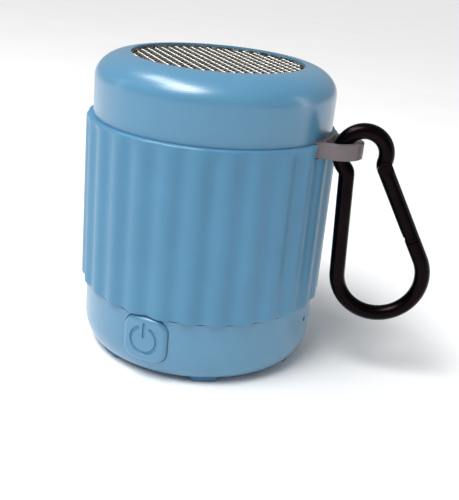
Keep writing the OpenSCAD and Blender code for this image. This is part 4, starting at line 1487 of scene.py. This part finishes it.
@dataclass
class SnapHook:
    """Keyhole snap hook bent from round bar, with a sprung gate.

    Its plane has the outward direction as X and up as Y, seen from the middle of the head's arc.

    Attributes:
        bar_x: Distance of the eyelet's bar from the axis, in millimetres.
        bar_z: Height of the eyelet's bar.
        head: Middle of the head's arc, outwards and upwards from the bar.
        lean: Angle by which the hook leans outwards, in degrees.
        turn: Angle by which it is turned in the eyelet.
        rod: Radius of the bar that it is bent from.
        head_r: Middle radius of the head.
        belly_r: Middle radius of the wide end.
        belly_y: Middle of the wide end's arc.
        wrap: Angle by which the head runs on below its middle.
        bend: Radius of the bends under the head.
        seam: Distance from the hook's top to the seam of the gate.
        tongue: Thickness of the tongue in the gate's fork.
        rivet: Radius of the rivet's hole.
        fork_gap: Gap round the fork as it turns.
        fork_half: Half length of the two cuts beside the tongue, and of the rivet's hole.
        hinge_inset: Distance by which the hinge's eye lies inside the bar's surface.
        latch_inset: Distance by which the latch tongue lies inside it.
        latch_reach: How far the latch tongue goes into the seam's bar and up into the gate.
        latch_half: Half width of the box that the latch tongue is cut with.
        slot: Lower and upper end of the latch's slot above the seam, and how far past the middle it goes.
    """

    bar_x: float = 45.7205
    bar_z: float = 70.8
    head: Point2 = (1.3, -1.1)
    lean: float = 15.7
    turn: float = 20.0
    rod: float = 2.3
    head_r: float = 6.65
    belly_r: float = 12.7
    belly_y: float = -37.65
    wrap: float = 28.9
    bend: float = 3.0
    seam: float = 37.6
    tongue: float = 1.8
    rivet: float = 0.85
    fork_gap: float = 0.25
    fork_half: Point2 = (5.0, 10.0)
    hinge_inset: float = 0.1
    latch_inset: float = 0.04
    latch_reach: Point2 = (1.0, 2.8)
    latch_half: float = 4.0
    slot: Size3 = (0.85, 2.35, 0.75)

    def __post_init__(self) -> None:
        """Works out the bends and the straight legs."""
        wrap = math.radians(self.wrap)
        reach = self.head_r + self.bend
        self.bend_at = (reach * math.cos(wrap), -reach * math.sin(wrap))
        rise = self.bend_at[1] - self.belly_y
        self.slope = math.degrees(
            math.atan2(rise, self.bend_at[0])
            - math.acos((self.belly_r + self.bend) / math.hypot(self.bend_at[0], rise))
        )
        s = math.radians(self.slope)
        self.hinge = (self.bend_at[0] - self.bend * math.cos(s), self.bend_at[1] - self.bend * math.sin(s))
        self.gate = (self.hinge[1] - self.head_r - self.rod + self.seam) / math.cos(s)
        self.seam_at = (self.hinge[0] + self.gate * math.sin(s), self.hinge[1] - self.gate * math.cos(s))

    def place_matrix(self) -> Matrix:
        """Works out the hook's place.

        Returns:
            The matrix that brings the hook's plane, drawn in XZ in metres, there.
        """
        return (
            Matrix.Translation(Vector((self.bar_x, 0, self.bar_z)) * MM)
            @ Matrix.Rotation(math.radians(self.turn), 4, "Z")
            @ Matrix.Rotation(math.radians(-self.lean), 4, "Y")
            @ Matrix.Translation(Vector((self.head[0], 0, self.head[1])) * MM)
        )

    def middle_line(self) -> list[Point2]:
        """Draws the middle line of the bar from the seam round the wide end and over the head.

        Returns:
            Its points in the hook's plane.
        """
        s, w = self.slope, self.wrap
        bx, by = self.bend_at
        line = [self.seam_at]
        line += arc((0, self.belly_y), self.belly_r, self.belly_r, s, -180 - s, 72)
        line += arc((-bx, by), self.bend, self.bend, -s, w, 12)
        line += arc((0, 0), self.head_r, self.head_r, 180 + w, -w, 60)[1:]
        line += arc((bx, by), self.bend, self.bend, 180 - w, 180 + s, 12)[1:]
        return line

    def swept(self) -> bpy.types.Mesh:
        """Sweeps the round bar along its middle line.

        Returns:
            The bar's mesh in the hook's plane.
        """
        shape = NodeShape("bent_bar", {"Bar Radius": self.rod * MM})
        tree = shape.tree
        path = add_node(tree, "GeometryNodeMeshToCurve", {0: shape.start.outputs["Geometry"]})
        section = add_node(
            tree, "GeometryNodeCurvePrimitiveCircle", {"Resolution": 40, "Radius": shape.size("Bar Radius")}
        )
        tube = add_node(
            tree,
            "GeometryNodeCurveToMesh",
            {"Curve": path.outputs[0], "Profile Curve": section.outputs[0], "Fill Caps": True},
        )
        shape.finish(tube.outputs[0], Finishes.ANODISED)
        line = self.middle_line()
        base = bpy.data.meshes.new("middle_line")
        edges = [(i, i + 1) for i in range(len(line) - 1)]
        base.from_pydata([(x * MM, 0, z * MM) for x, z in line], edges, [])
        mesh = shape.mesh(base)
        work = bmesh.new()
        work.from_mesh(mesh)
        bmesh.ops.remove_doubles(work, verts=work.verts, dist=1e-6)
        return from_bmesh(work, "bent_bar")

    def across(self, at: Point2, radius: float, half: float, offset: float = 0.0) -> bpy.types.Mesh:
        """Makes a pin across the hook.

        Args:
            at: Its point in the hook's plane, in millimetres.
            radius: Its radius.
            half: Half its length.
            offset: Distance of its middle from the plane.

        Returns:
            The pin's mesh.
        """
        return rod(Vector((at[0], offset - half, at[1])), Vector((at[0], offset + half, at[1])), radius)

    def frame_mesh(self) -> bpy.types.Mesh:
        """Cuts the bar's two ends to the tongues that the gate's forks sit on.

        Returns:
            The frame's mesh in the hook's plane.
        """
        mesh = self.swept()
        cut_half, hole_half = self.fork_half
        for side in (-1, 1):
            beside = side * (self.tongue / 2 + cut_half)
            room = self.across(self.hinge, self.rod + self.fork_gap, cut_half, beside)
            mesh = combined(mesh, room, "DIFFERENCE", "frame")
        eye = self.across(self.hinge, self.rod - self.hinge_inset, self.tongue / 2)
        mesh = combined(mesh, eye, "UNION", "frame")
        mesh = combined(mesh, self.across(self.hinge, self.rivet, hole_half), "DIFFERENCE", "frame")
        hinge = Matrix.Translation(Vector((self.hinge[0], 0, self.hinge[1])) * MM)
        along = hinge @ Matrix.Rotation(math.radians(-self.slope), 4, "Y")
        below, above = self.latch_reach
        half, seam = self.latch_half, -self.gate
        tongue = combined(
            rod(Vector((0, 0, seam - below)), Vector((0, 0, seam + above)), self.rod - self.latch_inset),
            block((-half, -self.tongue / 2, seam - 2), (half, self.tongue / 2, seam + 4)),
            "INTERSECT",
            "tongue",
        )
        tongue.transform(along)
        mesh = combined(mesh, tongue, "UNION", "frame")
        slot_low, slot_high, slot_in = self.slot
        notch = block((-half, -half, seam + slot_low), (slot_in, half, seam + slot_high))
        notch.transform(along)
        return combined(mesh, notch, "DIFFERENCE", "frame")

    def build(self) -> None:
        """Builds the frame and dresses the gate, its rivet, pin and spring."""
        mesh = self.frame_mesh()
        mesh.transform(self.place_matrix())
        place(shaded(mesh, 35), "hook_frame", Body.HOOK, Finishes.ANODISED, "anodised", ["carabiner_frame"])
        dress(Finishes.ANODISED, "carabiner_gate", "gate_rivet", "gate_latch_pin")
        dress(Finishes.ZINC, "gate_spring")


# ---- Charging port, loudspeaker and electronics ----


@dataclass
class ChargingPort:
    """Socket behind a rubber cover on the back."""

    def build(self) -> None:
        """Dresses the cover, its tether and the socket."""
        dress(Finishes.GRIP, "port_cover", "cover_tether")
        dress(Finishes.ZINC, "usb_socket")


@dataclass
class Loudspeaker:
    """Loudspeaker under the grille."""

    def build(self) -> None:
        """Dresses the loudspeaker's parts."""
        dress(Finishes.BLACK_PLASTIC, "driver_basket")
        dress(Finishes.SEAL, "driver_gasket", "driver_surround")
        dress(Finishes.ZINC, "driver_screws", "driver_top_plate", "driver_yoke")
        dress(Finishes.FERRITE, "driver_magnet")
        dress(Finishes.SPIDER, "driver_spider")
        dress(Finishes.CONE, "driver_cone", "driver_dust_cap")
        dress(Finishes.COPPER, "driver_coil")


@dataclass
class Electronics:
    """Board, battery, leads, switch and microphone."""

    def build(self) -> None:
        """Dresses the electronics."""
        dress(Finishes.BOARD, "main_board")
        dress(Finishes.ZINC, "board_screws", "microphone")
        dress(Finishes.BLACK_PLASTIC, "battery_tray", "power_switch")
        dress(Finishes.FOAM, "battery_pad")
        dress(Finishes.POUCH, "battery_cell")
        dress(Finishes.RED_LEAD, "battery_lead")
        dress(Finishes.BLACK_LEAD, "speaker_lead")
        dress(Finishes.EPOXY, "amplifier_chip")


def main() -> None:
    """Builds the studio and the speaker's sub-assemblies in order."""
    logging.basicConfig(level=logging.INFO, format="%(name)s: %(message)s")
    Studio().build()
    for part in (
        Casing(),
        GripSleeve(),
        Feet(),
        Grille(),
        PowerButton(),
        Eyelet(),
        SnapHook(),
        ChargingPort(),
        Loudspeaker(),
        Electronics(),
    ):
        part.build()
        LOG.info("%s built", type(part).__name__)


if __name__ == "__main__":
    main()
